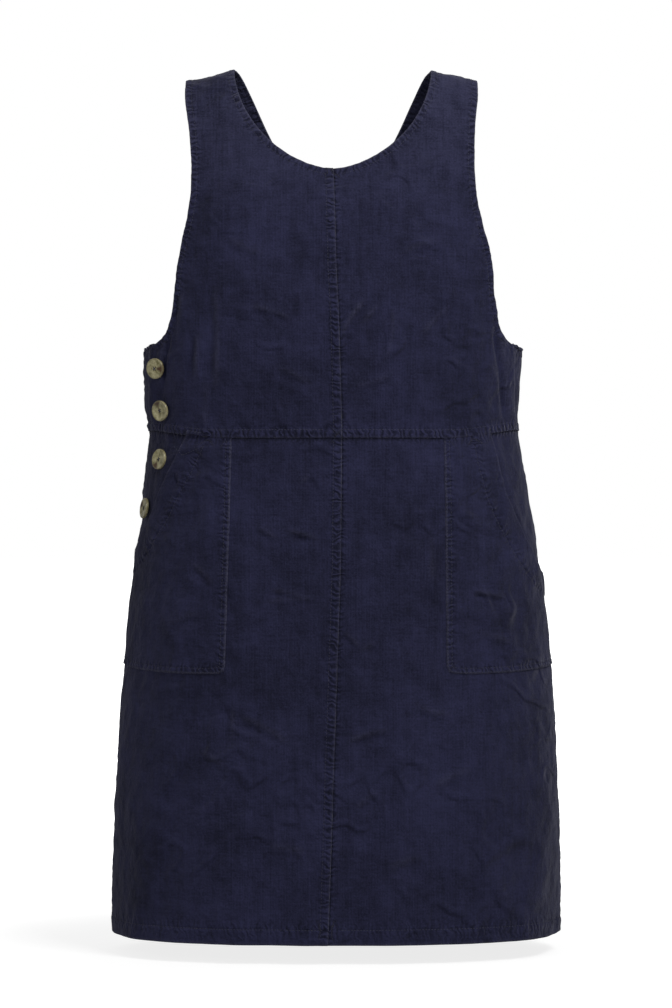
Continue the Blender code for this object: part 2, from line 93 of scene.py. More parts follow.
# How the worn cloth leans off that form, in millimetres: height, then how far both sides move
# towards the wearer's left. The side opening pulls in on the wearer's right below the waist.
swayRows = np.array([
    (-942, 5.5, -0.5), (-900, 4.5, 1.0), (-850, 5.0, 2.0), (-800, 5.0, 3.0), (-760, 5.8, 3.2),
    (-700, 6.8, 3.6), (-660, 7.8, 3.2), (-620, 9.3, 0.5), (-580, 9.2, 0.0), (-540, 8.6, 1.5),
    (-510, 7.4, 2.0), (-484, 8.6, 1.4), (-460, 5.0, 0.6), (-420, 4.0, 0.0), (-392, 3.2, -1.0),
    (-366, -0.6, -2.4), (-340, 0.2, -3.0), (-300, 2.8, -2.4), (-270, 2.0, 1.2), (-234, 1.4, 3.2),
    (-205, 2.0, 4.2), (-142, 1.2, 1.2), (-90, -1.6, 0.0), (-40, -3.4, -2.0), (10, -4.4, -1.0),
])
swayFrom = 0.40        # share of the half width from which the cloth follows the sides
shoulderDrop = 0.0022  # the straps press the shoulder line down this much

nudge = 0.0015


def curveThrough(at, knots, values):
    slopes = np.gradient(values, knots)
    i = np.clip(np.searchsorted(knots, at) - 1, 0, len(knots) - 2)
    step = knots[i + 1] - knots[i]
    t = (at - knots[i]) / step
    return (values[i] * (1 + 2 * t) * (1 - t) ** 2 + values[i + 1] * t * t * (3 - 2 * t)
            + slopes[i] * step * t * (1 - t) ** 2 + slopes[i + 1] * step * t * t * (t - 1))


def smoothStep(low, high, at):
    t = np.clip((at - low) / (high - low), 0.0, 1.0)
    return t * t * (3 - 2 * t)


def formHalf(depthColumn, toward):
    # one half of the form as tables over (how far down, how far round)
    run = np.concatenate([[0], np.cumsum(np.hypot(np.diff(formRows[:, 0]),
                                                  np.diff(formRows[:, depthColumn])))])
    along = np.linspace(0, run[-1], 1201)
    turn = np.linspace(0, math.pi / 2, 361)
    power = 2 / form["squareness"]
    depth = np.maximum(curveThrough(along, run, formRows[:, depthColumn]), 0.0)
    width = curveThrough(along, run, formRows[:, 1])
    x = width[:, None] * np.sin(turn) ** power
    forward = depth[:, None] * np.clip(np.cos(turn), 0, 1) ** power
    girth = np.concatenate([np.zeros((len(along), 1)), np.cumsum(np.hypot(np.diff(x), np.diff(forward)),
                                                                 axis=1)], axis=1)
    share = np.linspace(0, 1, 301)
    evenX = np.array([np.interp(share * g[-1], g, row) for g, row in zip(girth, x)])
    evenForward = np.array([np.interp(share * g[-1], g, row) for g, row in zip(girth, forward)])
    return {"along": along, "height": curveThrough(along, run, formRows[:, 0]), "width": width,
            "total": girth[:, -1], "turnGirth": girth, "x": evenX, "forward": evenForward, "toward": toward}


halves = {"front": formHalf(2, -1), "back": formHalf(3, 1)}
otherSide = {"front": "back", "back": "front"}


def fromTable(table, row, column):
    # bilinear value at fractional row and column
    r = np.clip(row.astype(int), 0, table.shape[0] - 2)
    c = np.clip(column.astype(int), 0, table.shape[1] - 2)
    fr, fc = row - r, column - c
    return ((table[r, c] * (1 - fc) + table[r, c + 1] * fc) * (1 - fr)
            + (table[r + 1, c] * (1 - fc) + table[r + 1, c + 1] * fc) * fr)


def alongAt(side, height):
    half = halves[side]
    return np.interp(-np.asarray(height, float), -half["height"], half["along"])


def heightAt(side, along):
    return np.interp(along, halves[side]["along"], halves[side]["height"])


def halfGirthAt(side, along):
    return np.interp(along, halves[side]["along"], halves[side]["total"])


def tableRow(side, along):
    half = halves[side]
    return np.clip(along / half["along"][-1], 0, 1) * (len(half["along"]) - 1)


def girthAt(side, along, x):
    # how far round the ring reaches x
    along, x = np.broadcast_arrays(np.asarray(along, float), np.asarray(x, float))
    half = halves[side]
    width = np.interp(along, half["along"], half["width"])
    turn = np.arcsin(np.clip(np.abs(x) / width, 0, 1) ** (form["squareness"] / 2))
    return np.sign(x) * fromTable(half["turnGirth"], tableRow(side, along), turn / (math.pi / 2) * 360)


def barePoint(side, girth, along):
    # a point of the form; past the side seam it goes on round the other half
    half, other = halves[side], halves[otherSide[side]]
    height = heightAt(side, along)
    total = halfGirthAt(side, along)
    beyond = np.abs(girth) - total
    row = tableRow(side, along)
    column = np.clip(np.abs(girth) / total, 0, 1) * (half["x"].shape[1] - 1)
    otherAlong = alongAt(otherSide[side], height)
    otherTotal = halfGirthAt(otherSide[side], otherAlong)
    otherRow = tableRow(otherSide[side], otherAlong)
    otherColumn = np.clip(1 - np.maximum(beyond, 0) / otherTotal, 0, 1) * (half["x"].shape[1] - 1)
    past = beyond > 0
    x = np.where(past, fromTable(other["x"], otherRow, otherColumn), fromTable(half["x"], row, column))
    forward = np.where(past, -fromTable(other["forward"], otherRow, otherColumn),
                       fromTable(half["forward"], row, column))
    nearShoulder = 1 - smoothStep(0.0, form["shoulderReach"], along)
    drop = form["shoulderSlope"] * (x - form["shoulderMiddle"]) * nearShoulder + shoulderDrop * nearShoulder
    width = np.interp(along, half["along"], half["width"])
    millimetres = np.where(np.sign(girth) < 0, np.interp(height * 1000, swayRows[:, 0], swayRows[:, 1]),
                           np.interp(height * 1000, swayRows[:, 0], swayRows[:, 2]))
    sway = millimetres / 1000 * smoothStep(swayFrom, 1.0, x / width)
    return np.stack([x * np.sign(girth) + sway, half["toward"] * forward, height - drop], axis=-1)


def bareNormal(side, girth, along):
    across = barePoint(side, girth + nudge, along) - barePoint(side, girth - nudge, along)
    down = barePoint(side, girth, along + nudge) - barePoint(side, girth, np.maximum(along - nudge, 0))
    normal = np.cross(across, down) * halves[side]["toward"]
    return normal / np.linalg.norm(normal, axis=-1, keepdims=True)


# The largest folds, as in the frame: side, girth and height of both ends, width, depth
folds = [
    ("front", -0.2150, -0.285, -0.2240, -0.400, 0.012, 0.0035),
    ("front", -0.2380, -0.300, -0.2420, -0.398, 0.012, -0.0030),
    ("front", 0.2130, -0.285, 0.2260, -0.400, 0.012, 0.0040),
    ("front", 0.2340, -0.300, 0.2430, -0.398, 0.012, -0.0040),
    ("front", -0.0900, -0.700, -0.1300, -0.960, 0.034, 0.0030),
    ("front", 0.1500, -0.690, 0.1900, -0.960, 0.030, 0.0035),
    ("back", -0.1400, -0.560, -0.1650, -0.970, 0.038, 0.0060),
    ("back", -0.0450, -0.620, -0.0550, -0.970, 0.034, -0.0045),
    ("back", 0.0500, -0.580, 0.0600, -0.970, 0.036, 0.0055),
    ("back", 0.1500, -0.600, 0.1800, -0.970, 0.036, -0.0050),
]
foldFade = 0.22


def foldLift(side, girth, height):
    lift = np.zeros(np.shape(girth))
    for foldSide, girthTop, top, girthBottom, bottom, width, depth in folds:
        if foldSide != side:
            continue
        share = np.clip((top - height) / (top - bottom), 0, 1)
        off = (girth - girthTop - (girthBottom - girthTop) * share) / width
        ends = smoothStep(0, foldFade, share) * smoothStep(0, foldFade, 1 - share)
        lift += depth * np.exp(-off * off) * ends
    return lift


# Creases in millimetres: side, x and height of both ends, bow, width, depth.
# Each is a soft trough with a ridge beside it, on the side that the sign of depth gives.
creases = [
    # bodice front
    ("front", -91, -267, -46, -281, 3, 4.5, 1.1),
    ("front", -134, -233, -133, -361, 2, 6.0, 1.3),
    ("front", -151, -285, -152, -345, -1, 5.0, 1.6),
    ("front", -169, -240, -176, -300, 2, 5.5, 1.2),
    ("front", -128, -340, -131, -395, 0, 5.0, -1.0),
    ("front", 11, -302, 42, -254, 3, 4.5, 1.4),
    ("front", 34, -286, 56, -259, 1, 4.0, 0.9),
    ("front", 58, -259, 51, -320, 4, 3.5, 0.9),
    ("front", 20, -352, 66, -338, -3, 5.0, 0.7),
    ("front", -70, -330, -24, -352, 3, 5.0, 0.8),
    ("front", 96, -300, 132, -262, 2, 5.0, 0.8),
    ("front", 171, -271, 186, -390, 5, 4.5, 2.4),
    ("front", -176, -285, -184, -352, -3, 4.0, -2.0),
    ("front", 70, -215, 118, -196, 3, 6.0, 0.7),
    ("front", -120, -190, -72, -214, -3, 6.0, 0.7),
    ("front", 150, -150, 136, -196, 2, 6.0, 0.6),
    # skirt front
    ("front", -85, -501, -60, -515, 1, 4.0, 1.0),
    ("front", -54, -505, -13, -516, 2, 3.5, 1.3),
    ("front", -69, -568, -30, -575, 1, 3.5, 1.0),
    ("front", -76, -584, -14, -578, 2, 4.5, 0.8),
    ("front", -34, -456, -20, -444, 0, 4.0, 0.9),
    ("front", -113, -684, -114, -726, 1, 4.5, 1.1),
    ("front", -107, -704, -48, -735, 4, 5.5, 1.2),
    ("front", 7, -611, 25, -629, 1, 4.0, 1.1),
    ("front", 30, -635, 50, -623, 1, 4.0, 0.9),
    ("front", 13, -733, 64, -718, 3, 4.5, 1.2),
    ("front", 27, -801, 50, -783, 1, 4.5, 1.0),
    ("front", 96, -498, 97, -560, 1, 6.0, 0.8),
    ("front", -150, -742, -118, -760, 2, 6.0, 0.9),
    ("front", 108, -782, 150, -762, 3, 6.0, 0.9),
    ("front", -70, -845, -30, -852, 2, 7.0, 0.9),
    ("front", 80, -690, 128, -705, -3, 6.0, 0.8),
    ("front", 60, -868, 100, -856, 2, 7.0, 0.8),
    # over the pockets
    ("front", 145, -570, 184, -578, 1, 3.5, 1.3),
    ("front", -172, -440, -168, -452, 0, 2.6, 1.1),
    ("front", 178, -440, 174, -452, 0, 2.6, 1.1),
    ("front", -160, -540, -132, -566, 3, 5.0, 0.9),
    ("front", -180, -610, -140, -596, 2, 6.0, 0.8),
    ("front", 150, -618, 192, -632, 3, 6.0, 0.8),
    # back, in the same hand
    ("back", -120, -330, -74, -346, 3, 5.0, 1.2),
    ("back", 96, -322, 132, -352, -3, 5.0, 1.3),
    ("back", 10, -340, 48, -322, 3, 5.0, 1.0),
    ("back", -52, -368, -12, -356, 2, 5.0, 0.8),
    ("back", 20, -430, 70, -446, 3, 5.0, 1.1),
    ("back", -110, -446, -60, -428, 3, 5.0, 1.2),
    ("back", -60, -500, -10, -520, 3, 5.0, 1.2),
    ("back", 60, -540, 118, -520, 4, 6.0, 1.2),
    ("back", -150, -560, -110, -590, 3, 6.0, 1.1),
    ("back", 0, -640, 40, -622, 2, 6.0, 1.0),
    ("back", -90, -700, -40, -720, 3, 6.0, 1.2),
    ("back", 110, -700, 150, -730, 3, 6.0, 1.0),
    ("back", 30, -790, 84, -770, 3, 6.0, 1.1),
    ("back", -140, -830, -90, -815, 3, 6.0, 1.0),
    ("back", -20, -860, 30, -872, 3, 7.0, 0.9),
    ("back", 170, -350, 176, -300, 2, 5.0, 1.6),
    ("back", -172, -356, -178, -305, 2, 5.0, 1.6),
]
creaseEnds = 0.30
creaseDepth = 2.3
drapeDepth = 1.6


def segmentsNear(points, line, reach):
    # nearest spot of a polyline: offset vector, run along it; far points keep a large distance
    first, last = line[:-1], line[1:]
    step = last - first
    length = np.maximum((step ** 2).sum(1), 1e-12)
    runs = np.concatenate([[0], np.cumsum(np.sqrt(length))])
    offset = np.full(points.shape, 1.0)
    run = np.zeros(len(points))
    low, high = line.min(0) - reach, line.max(0) + reach
    close = np.nonzero(((points > low) & (points < high)).all(1))[0]
    for start in range(0, len(close), 800):
        pick = close[start:start + 800]
        gap = points[pick, None, :] - first[None]
        t = np.clip((gap * step[None]).sum(2) / length[None], 0, 1)
        gap = gap - t[..., None] * step[None]
        best = (gap ** 2).sum(2).argmin(1)
        rows = np.arange(len(pick))
        offset[pick] = gap[rows, best]
        run[pick] = runs[best] + t[rows, best] * (runs[best + 1] - runs[best])
    return offset, run, runs[-1]


def nearLine(points, line, reach=0.045):
    offset, run, _ = segmentsNear(points, line, reach)
    return np.linalg.norm(offset, axis=1), run


creaseLines = []
for number, (side, x0, z0, x1, z1, bow, width, depth) in enumerate(creases):
    share = np.linspace(0, 1, 13)
    ends = np.array([(x0, z0), (x1, z1)]) / 1000
    unit = (ends[1] - ends[0]) / np.linalg.norm(ends[1] - ends[0])
    path = ends[0] + np.outer(share, ends[1] - ends[0]) + np.outer(np.sin(math.pi * share),
                                                                   (-unit[1], unit[0])) * bow / 1000
    down = alongAt(side, path[:, 1])
    foldGirth = girthAt(side, down, path[:, 0])
    line = barePoint(side, foldGirth, down)
    middle = bareNormal(side, foldGirth[6:7], down[6:7])[0]
    across = np.cross(middle, line[-1] - line[0])
    across /= np.linalg.norm(across)
    creaseLines.append({"line": line, "across": across * np.sign(depth), "width": width / 1000,
                        "depth": abs(depth) / 1000 * creaseDepth, "phase": number * 1.7})


def creaseLift(points):
    lift, rub = np.zeros(len(points)), np.zeros(len(points))
    for crease in creaseLines:
        reach = crease["width"] * 5
        offset, run, length = segmentsNear(points, crease["line"], reach)
        far = np.linalg.norm(offset, axis=1)
        share = run / length
        fade = smoothStep(0, creaseEnds, share) * smoothStep(0, creaseEnds, 1 - share)
        fade *= (0.8 + 0.2 * np.sin(share * 9 + crease["phase"])) * (far < reach)
        off = (offset @ crease["across"]) / crease["width"]
        ridge = np.exp(-((off - 1.55) / 1.0) ** 2)
        lift += crease["depth"] * fade * (0.65 * ridge - np.exp(-off * off))
        rub += crease["depth"] / 0.0012 * fade * np.exp(-((off - 1.35) / 0.5) ** 2)
    return lift, rub


# Loose drape: long upright waves that grow towards the hem, and a slight rumple all over
drape = {"seed": 11, "bodice": 0.00035, "hem": 0.0013, "rumple": 0.00016, "waves": 7, "rumples": 16}
chance = np.random.default_rng(drape["seed"])
longWaves = [(chance.uniform(0, 2 * math.pi), 2 * math.pi / chance.uniform(0.055, 0.150),
              chance.uniform(-0.25, 0.25),
              chance.uniform(0, 2 * math.pi), chance.uniform(0.5, 1.0)) for _ in range(drape["waves"])]
shortWaves = [(chance.normal(size=3), 2 * math.pi / chance.uniform(0.016, 0.048),
               chance.uniform(0, 2 * math.pi))
              for _ in range(drape["rumples"])]


def drapeLift(points):
    lift = np.zeros(len(points))
    size = drape["bodice"] + (drape["hem"] - drape["bodice"]) * smoothStep(0.45, 0.95, -points[:, 2])
    for heading, rate, lean, phase, part in longWaves:
        across = points[:, 0] * math.cos(heading) + points[:, 1] * math.sin(heading)
        lift += size * part * np.sin(rate * (across + lean * points[:, 2]) + phase) / 2
    for heading, rate, phase in shortWaves:
        lift += drape["rumple"] * np.sin(rate * (points @ (heading / np.linalg.norm(heading))) + phase) / 2
    return lift


# How each kind of edge is finished. inset: stitch line from the edge; rise: extra layers under the band;
# roll: how the very edge turns down; pucker, at, reach, pitch: the gathers along the band
edgeKinds = {
    "turned": {"inset": 0.0070, "rise": 0.0005, "roll": 0.0009, "groove": 0.0006, "pucker": 0.00050,
               "at": 0.0040, "reach": 0.0060, "pitch": 0.0100, "ripple": 1.0, "wearAndShade": 0.8, "layers": 1.0},
    "hem": {"inset": 0.0165, "rise": 0.0005, "roll": 0.0009, "groove": 0.0007, "pucker": 0.00045,
            "at": 0.0150, "reach": 0.0100, "pitch": 0.0125, "ripple": 0.6, "wearAndShade": 0.7, "layers": 1.0},
    "proud": {"inset": 0.0090, "rise": 0.0012, "roll": 0.0010, "groove": 0.0006, "pucker": 0.00040,
              "at": 0.0045, "reach": 0.0058, "pitch": 0.0090, "ripple": 1.2, "wearAndShade": 0.45, "layers": 1.0},
    "facing": {"inset": 0.0270, "rise": 0.0007, "roll": 0.0012, "groove": 0.0007, "pucker": 0.00060,
               "at": 0.0255, "reach": 0.0070, "pitch": 0.0110, "ripple": 0.7, "wearAndShade": 1.0, "layers": 1.0},
    "patch": {"inset": 0.0062, "rise": 0.0000, "roll": 0.0013, "groove": 0.0006, "pucker": 0.00050,
              "at": 0.0040, "reach": 0.0055, "pitch": 0.0085, "ripple": 1.0, "wearAndShade": 0.8, "layers": 0.6},
    "plain": {"inset": 0.0000, "rise": 0.0000, "roll": 0.0009, "groove": 0.0005, "pucker": 0.00035,
              "at": 0.0020, "reach": 0.0060, "pitch": 0.0120, "ripple": 0.5, "wearAndShade": 0.3, "layers": 0.0},
}
rollWidth = 0.0013
grooveWidth = 0.0010
tuckDepth = 0.0013


def uneven(run, pitch, phase):
    wander = 1.1 * np.sin(2 * math.pi * run / (pitch * 3.7) + 2 * phase)
    size = 0.62 + 0.38 * np.sin(2 * math.pi * run / (pitch * 6.3) + 3 * phase)
    return size * np.sin(2 * math.pi * run / pitch + phase + wander)


def layCloth(panel, girth, along):
    # where the panel's outer face lies over (girth, along), with what its material reads there
    side = panel["side"]
    bare = barePoint(side, girth, along)
    normal = bareNormal(side, girth, along)
    creased, rub = creaseLift(bare)
    off = panel["off"](girth, along) if callable(panel["off"]) else panel["off"]
    lift = off + foldLift(side, girth, heightAt(side, along)) + drapeDepth * drapeLift(bare)
    lift = lift + creased * panel.get("creased", 1.0)
    seam = np.zeros((len(girth), 3))
    layers = np.zeros(len(girth))
    edges, dark = np.zeros(len(girth)), np.zeros(len(girth))
    for number, (kind, path) in enumerate(panel["edges"]):
        distance, run = nearLine(bare, path["points"])
        if kind == "under":  # runs on beyond the seam, beneath the neighbour
            sign = np.where(panel["beyond"][path["name"]](girth, along), -1, 1)
            lift -= tuckDepth * (1 - smoothStep(-0.0008, 0.0007, distance * sign))
            # painted shade: a dark line along the seam where the neighbour laps over it, strongest at the
            # waist; it is taken off the last value below, and values under zero darken the colour
            dark = np.maximum(dark, (0.9 if path["name"].startswith("waist") else 0.35)
                              * np.exp(-(distance / 0.0021) ** 2))
            strength, ripple = np.exp(-(distance / 0.005) ** 2), 0.8
        elif kind == "tuck":  # pressed flat where the neighbour is sewn over it
            lift -= (panel["off"] - cloth["face"] - 0.0003) * (1 - smoothStep(0.0, 0.014, distance))
            strength, ripple = np.exp(-(distance / 0.007) ** 2), 0.8
        else:
            style = edgeKinds[kind]
            lift += style["rise"] * (1 - smoothStep(style["inset"] - 0.0012, style["inset"] + 0.0024,
                                                    distance))
            lift -= style["roll"] * np.clip(1 - distance / rollWidth, 0, 1) ** 2
            lift -= style["groove"] * np.exp(-((distance - style["inset"]) / grooveWidth) ** 2)
            strength = np.exp(-((distance - style["at"]) / style["reach"]) ** 2)
            phase = 1.3 * number + len(path["name"])
            lift += style["pucker"] * strength * uneven(run + 0.25 * distance, style["pitch"], phase)
            layers = np.maximum(layers, style["layers"] * (distance < style["inset"]))
            edges = np.maximum(edges, style["wearAndShade"] * np.exp(-(distance / 0.0017) ** 2))
            ripple = style["ripple"]
        stronger = strength * ripple > seam[:, 2]
        seam[stronger] = np.stack([run, distance, strength * ripple], axis=1)[stronger]
    if "shape" in panel:
        lift += panel["shape"](girth, along, bare)
    # the last value holds rubbed wear on edges and crease ridges above zero, and painted seam shade below
    # zero
    return {"points": bare + normal * lift[:, None], "normal": normal, "seam": seam, "layers": layers,
            "wearAndShade": np.clip(edges + 0.16 * rub, 0, 1) - dark}


def spread(length, coarse, focuses, fine=0.0006, growth=0.22):
    # positions along a length, close together near the focuses
    at = np.linspace(0, length, 4001)
    spacing = np.minimum(coarse, np.min([fine + growth * np.abs(at - f) for f in focuses], axis=0))
    count = np.concatenate([[0], np.cumsum(np.diff(at) * (1 / spacing[1:] + 1 / spacing[:-1]) / 2)])
    return np.interp(np.linspace(0, count[-1], int(math.ceil(count[-1])) + 1), count, at)


def atShares(edge, shares):
    run = np.concatenate([[0], np.cumsum(np.linalg.norm(np.diff(edge, axis=0), axis=1))])
    return np.stack([np.interp(shares * run[-1], run, edge[:, k]) for k in range(2)], axis=1)


def filledPatch(left, right, start, end, rowShare, columnShare):
    v, u = rowShare[:, None, None], columnShare[None, :, None]
    corners = (1 - v) * ((1 - u) * left[0] + u * right[0]) + v * ((1 - u) * left[-1] + u * right[-1])
    return (1 - u) * left[:, None] + u * right[:, None] + (1 - v) * start[None] + v * end[None] - corners


def makePath(name, side, girth, along):
    girth, along = np.broadcast_arrays(np.asarray(girth, float), np.asarray(along, float))
    edge = np.stack([girth, along], axis=1)
    length = np.linalg.norm(np.diff(edge, axis=0), axis=1).sum()
    edge = atShares(edge, np.linspace(0, 1, max(int(length / 0.003), 8)))
    return {"name": name, "side": side, "edge": edge, "points": barePoint(side, edge[:, 0], edge[:, 1])}


# Lines of the pattern
def frontWaist(girth):
    share = 1 - smoothStep(0.12, 0.235, np.abs(girth))
    return alongAt("front", levels["waistSide"] - levels["waistDip"] * share)


seamLeanHeights = np.array([-0.941, -0.700, -0.532, -0.390, -0.277, -0.220, -0.105])
seamLeanX = np.array([-0.0050, 0.0030, 0.0086, 0.0098, 0.0068, 0.0039, 0.0010])


def seamLean(along):
    return girthAt("front", along, np.interp(heightAt("front", along), seamLeanHeights, seamLeanX))


neck = {"halfWidth": 0.1075, "drop": 0.111, "roundness": 1.75}
armholeX = np.array([0.2080, 0.1985, 0.1850, 0.1780, 0.1730, 0.1665, 0.1560, 0.1530, 0.1550, 0.1590, 0.1590])
armholeHeight = np.array([-0.305, -0.301, -0.291, -0.277, -0.252, -0.201,
                          -0.152, -0.110, -0.064, -0.028, 0.000])
armholeMiddle = -0.140
seamMatch = -0.315

hemAlong = {side: float(alongAt(side, levels["hem"])) for side in halves}
waistAlong = {side: float(alongAt(side, levels["waistSide"])) for side in halves}
neckAlong = float(alongAt("front", -neck["drop"]))


def neckHalf(centre):
    # from the centre of the neckline up to the strap's inner edge, on the wearer's left
    turn = np.linspace(math.pi / 2, 0, 61)
    x = neck["halfWidth"] * np.clip(np.cos(turn), 0, 1) ** (2 / neck["roundness"])
    along = alongAt("front", -neck["drop"] * np.sin(turn) ** (2 / neck["roundness"]))
    girth = girthAt("front", along, x)
    keep = girth > centre + 0.001
    return np.concatenate([[(centre, neckAlong)], np.stack([girth, along], axis=1)[keep]])


def armholePart(low, high):
    height = np.linspace(low, high, 60)
    along = alongAt("front", height)
    return np.stack([girthAt("front", along, curveThrough(height, armholeHeight, armholeX)), along], axis=1)


def backTop(across):
    return levels["backTopSide"] + levels["backTopRise"] * (1 - across * across)


strap = {"landInner": -0.064, "landOuter": -0.014, "bend": 1.18, "tuck": 0.012, "depth": 0.0030, "sink": 0.20,
         "crossLift": 0.0030, "crossStart": 0.50, "crossEnd": 0.9375, "crossRise": 0.12, "crossFall": 0.026}
strapLength = float(alongAt("back", levels["backTopSide"] + levels["backTopRise"] - strap["tuck"]))


def strapEdge(half, outer, share):
    top = armholeX[-1] if outer else neck["halfWidth"]
    land = strap["landOuter"] if outer else strap["landInner"]
    along = strapLength * share
    return half * girthAt("back", along, top + (land - top) * share ** strap["bend"]), along


paths = {}
down = np.linspace(0, 1, 200)
for half, label in ((1, "Left"), (-1, "Right")):
    armholeEdge = np.concatenate([armholePart(levels["underarm"], armholeMiddle),
                                  armholePart(armholeMiddle, 0.0)])
    paths["armhole" + label] = makePath("armhole" + label, "front", half * armholeEdge[:, 0],
                                        armholeEdge[:, 1])
    sideAlong = alongAt("front", levels["underarm"] + (levels["hem"] - levels["underarm"]) * down)
    paths["side" + label] = makePath("side" + label, "front", half * halfGirthAt("front", sideAlong),
                                     sideAlong)
    openAlong = alongAt("front", levels["underarm"] + (levels["standBottom"] - levels["underarm"]) * down)
    paths["opening" + label] = makePath("opening" + label, "front", half * halfGirthAt("front", openAlong),
                                        openAlong)
    belowAlong = alongAt("front", levels["standBottom"] + (levels["hem"] - levels["standBottom"]) * down)
    paths["below" + label] = makePath("below" + label, "front", half * halfGirthAt("front", belowAlong),
                                      belowAlong)
    paths["shoulder" + label] = makePath("shoulder" + label, "back",
                                         half * np.linspace(neck["halfWidth"], armholeX[-1], 9), 0.0)
    for outer, place in ((False, "Inner"), (True, "Outer")):
        paths["strap" + label + place] = makePath("strap" + label + place, "back",
                                                  *strapEdge(half, outer, down))
neckRight = neckHalf(0.0)[::-1] * (-1, 1)
neckAll = np.concatenate([neckRight, neckHalf(0.0)[1:]])
paths["neckline"] = makePath("neckline", "front", neckAll[:, 0], neckAll[:, 1])
waistGirth = np.linspace(-1, 1, 200) * halfGirthAt("front", waistAlong["front"])
paths["waistFront"] = makePath("waistFront", "front", waistGirth, frontWaist(waistGirth))
backGirth = np.linspace(-1, 1, 200)
paths["waistBack"] = makePath("waistBack", "back", backGirth * halfGirthAt("back", waistAlong["back"]),
                              waistAlong["back"])
paths["hemFront"] = makePath("hemFront", "front", backGirth * halfGirthAt("front", hemAlong["front"]),
                             hemAlong["front"])
paths["hemBack"] = makePath("hemBack", "back", backGirth * halfGirthAt("back", hemAlong["back"]),
                            hemAlong["back"])
topAlong = alongAt("back", backTop(backGirth))
paths["backTop"] = makePath("backTop", "back", backGirth * halfGirthAt("back", topAlong), topAlong)
centreAlong = np.linspace(neckAlong, hemAlong["front"], 300)
paths["centreFront"] = makePath("centreFront", "front", seamLean(centreAlong), centreAlong)


# Building a sheet from a grid of (girth, along)
def newSheet(name, panel, grid):
    rows, columns = grid.shape[:2]
    laid = layCloth(panel, grid[..., 0].ravel(), grid[..., 1].ravel())
    bpy.ops.object.select_all(action="DESELECT")
    bpy.ops.mesh.primitive_grid_add(x_subdivisions=columns - 1, y_subdivisions=rows - 1, size=1)
    piece = bpy.context.active_object
    piece.name = piece.data.name = name
    mesh = piece.data
    mesh.vertices.foreach_set("co", laid["points"].astype(np.float32).ravel())
    mesh.update()
    corner = [laid["points"][k] for k in (0, 1, columns)]
    if np.dot(np.cross(corner[1] - corner[0], corner[2] - corner[0]), laid["normal"][0]) < 0:
        mesh.flip_normals()
    vertexOf = np.zeros(len(mesh.loops), int)
    mesh.loops.foreach_get("vertex_index", vertexOf)
    flat = np.stack([panel.get("mapGirth", grid)[..., 0].ravel(), grid[..., 1].ravel()], axis=1)
    mesh.uv_layers[0].name = "clothMap"
    mesh.uv_layers[0].data.foreach_set("uv", flat[vertexOf].astype(np.float32).ravel())
    mesh.attributes.new("wearAndShade", "FLOAT", "POINT").data.foreach_set("value", laid["wearAndShade"].astype(np.float32))
    seam = mesh.attributes.new("seam", "FLOAT_VECTOR", "POINT")
    seam.data.foreach_set("vector", laid["seam"].astype(np.float32).ravel())
    thick = piece.vertex_groups.new(name="layers")
    thin = panel.get("thin", cloth["single"]) / panel.get("thick", cloth["double"])
    weights = thin + (1 - thin) * laid["layers"]
    for weight in np.unique(np.round(weights, 2)):
        thick.add([int(k) for k in np.nonzero(np.round(weights, 2) == weight)[0]], float(weight), "REPLACE")
    wall = piece.modifiers.new("wall", "SOLIDIFY")
    wall.thickness = panel.get("thick", cloth["double"])
    wall.offset = -1
    wall.vertex_group = "layers"
    wall.material_offset = 1
    wall.use_even_offset = False
    mesh.materials.append(needlecord)
    mesh.materials.append(wrongSide)
    bpy.ops.object.modifier_apply(modifier="wall")
    bpy.ops.object.shade_smooth()
    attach(piece, "root")
    print(name, len(mesh.polygons), "faces")
    return piece


# Topstitching: one bead per stitch, following an edge at an inset
stitch = {"pitch": 0.0033, "length": 0.0024, "radius": 0.00030, "sides": 5}
stitchRows = {}


def beadShape():
    turn = np.arange(stitch["sides"]) * 2 * math.pi / stitch["sides"]
    ring = np.stack([np.zeros(stitch["sides"]), np.cos(turn), np.sin(turn)], axis=1) * stitch["radius"]
    reach = stitch["length"] / 2
    points = [(-reach, 0, -stitch["radius"] * 0.6)]
    points += [(-reach * 0.62, y, z) for _, y, z in ring] + [(reach * 0.62, y, z) for _, y, z in ring]
    points += [(reach, 0, -stitch["radius"] * 0.6)]
    n = stitch["sides"]
    faces = [(0, 1 + (k + 1) % n, 1 + k) for k in range(n)]
    faces += [(1 + k, 1 + (k + 1) % n, 1 + n + (k + 1) % n, 1 + n + k) for k in range(n)]
    faces += [(1 + n + k, 1 + n + (k + 1) % n, 1 + 2 * n) for k in range(n)]
    return np.array(points), faces


def stitchAlong(name, panel, path, inset, inward, trim=(0.004, 0.004)):
    # inward is a (girth, along) spot on the side that the stitches stand on
    edge = path["edge"]
    tangent = np.gradient(edge, axis=0)
    tangent /= np.linalg.norm(tangent, axis=1, keepdims=True)
    across = np.stack([-tangent[:, 1], tangent[:, 0]], axis=1)
    middle = len(edge) // 2
    if np.dot(across[middle], np.asarray(inward) - edge[middle]) < 0:
        across = -across
    row = edge + across * inset
    run = np.concatenate([[0], np.cumsum(np.linalg.norm(np.diff(row, axis=0), axis=1))])
    at = np.arange(trim[0], run[-1] - trim[1], stitch["pitch"])
    jitter = np.random.default_rng(len(name) + len(at)).normal(0, 0.00012, len(at))
    spot = lambda s: layCloth(panel, np.interp(s, run, row[:, 0]) + jitter, np.interp(s, run, row[:, 1]))
    here, before, after = spot(at), spot(at - 0.001), spot(at + 0.001)
    ahead = after["points"] - before["points"]
    ahead /= np.linalg.norm(ahead, axis=1, keepdims=True)
    beside = np.cross(here["normal"], ahead)
    beside /= np.linalg.norm(beside, axis=1, keepdims=True)
    up = np.cross(ahead, beside)
    stitchRows.setdefault(name, []).append((here["points"] + up * 0.00012, ahead, beside, up))


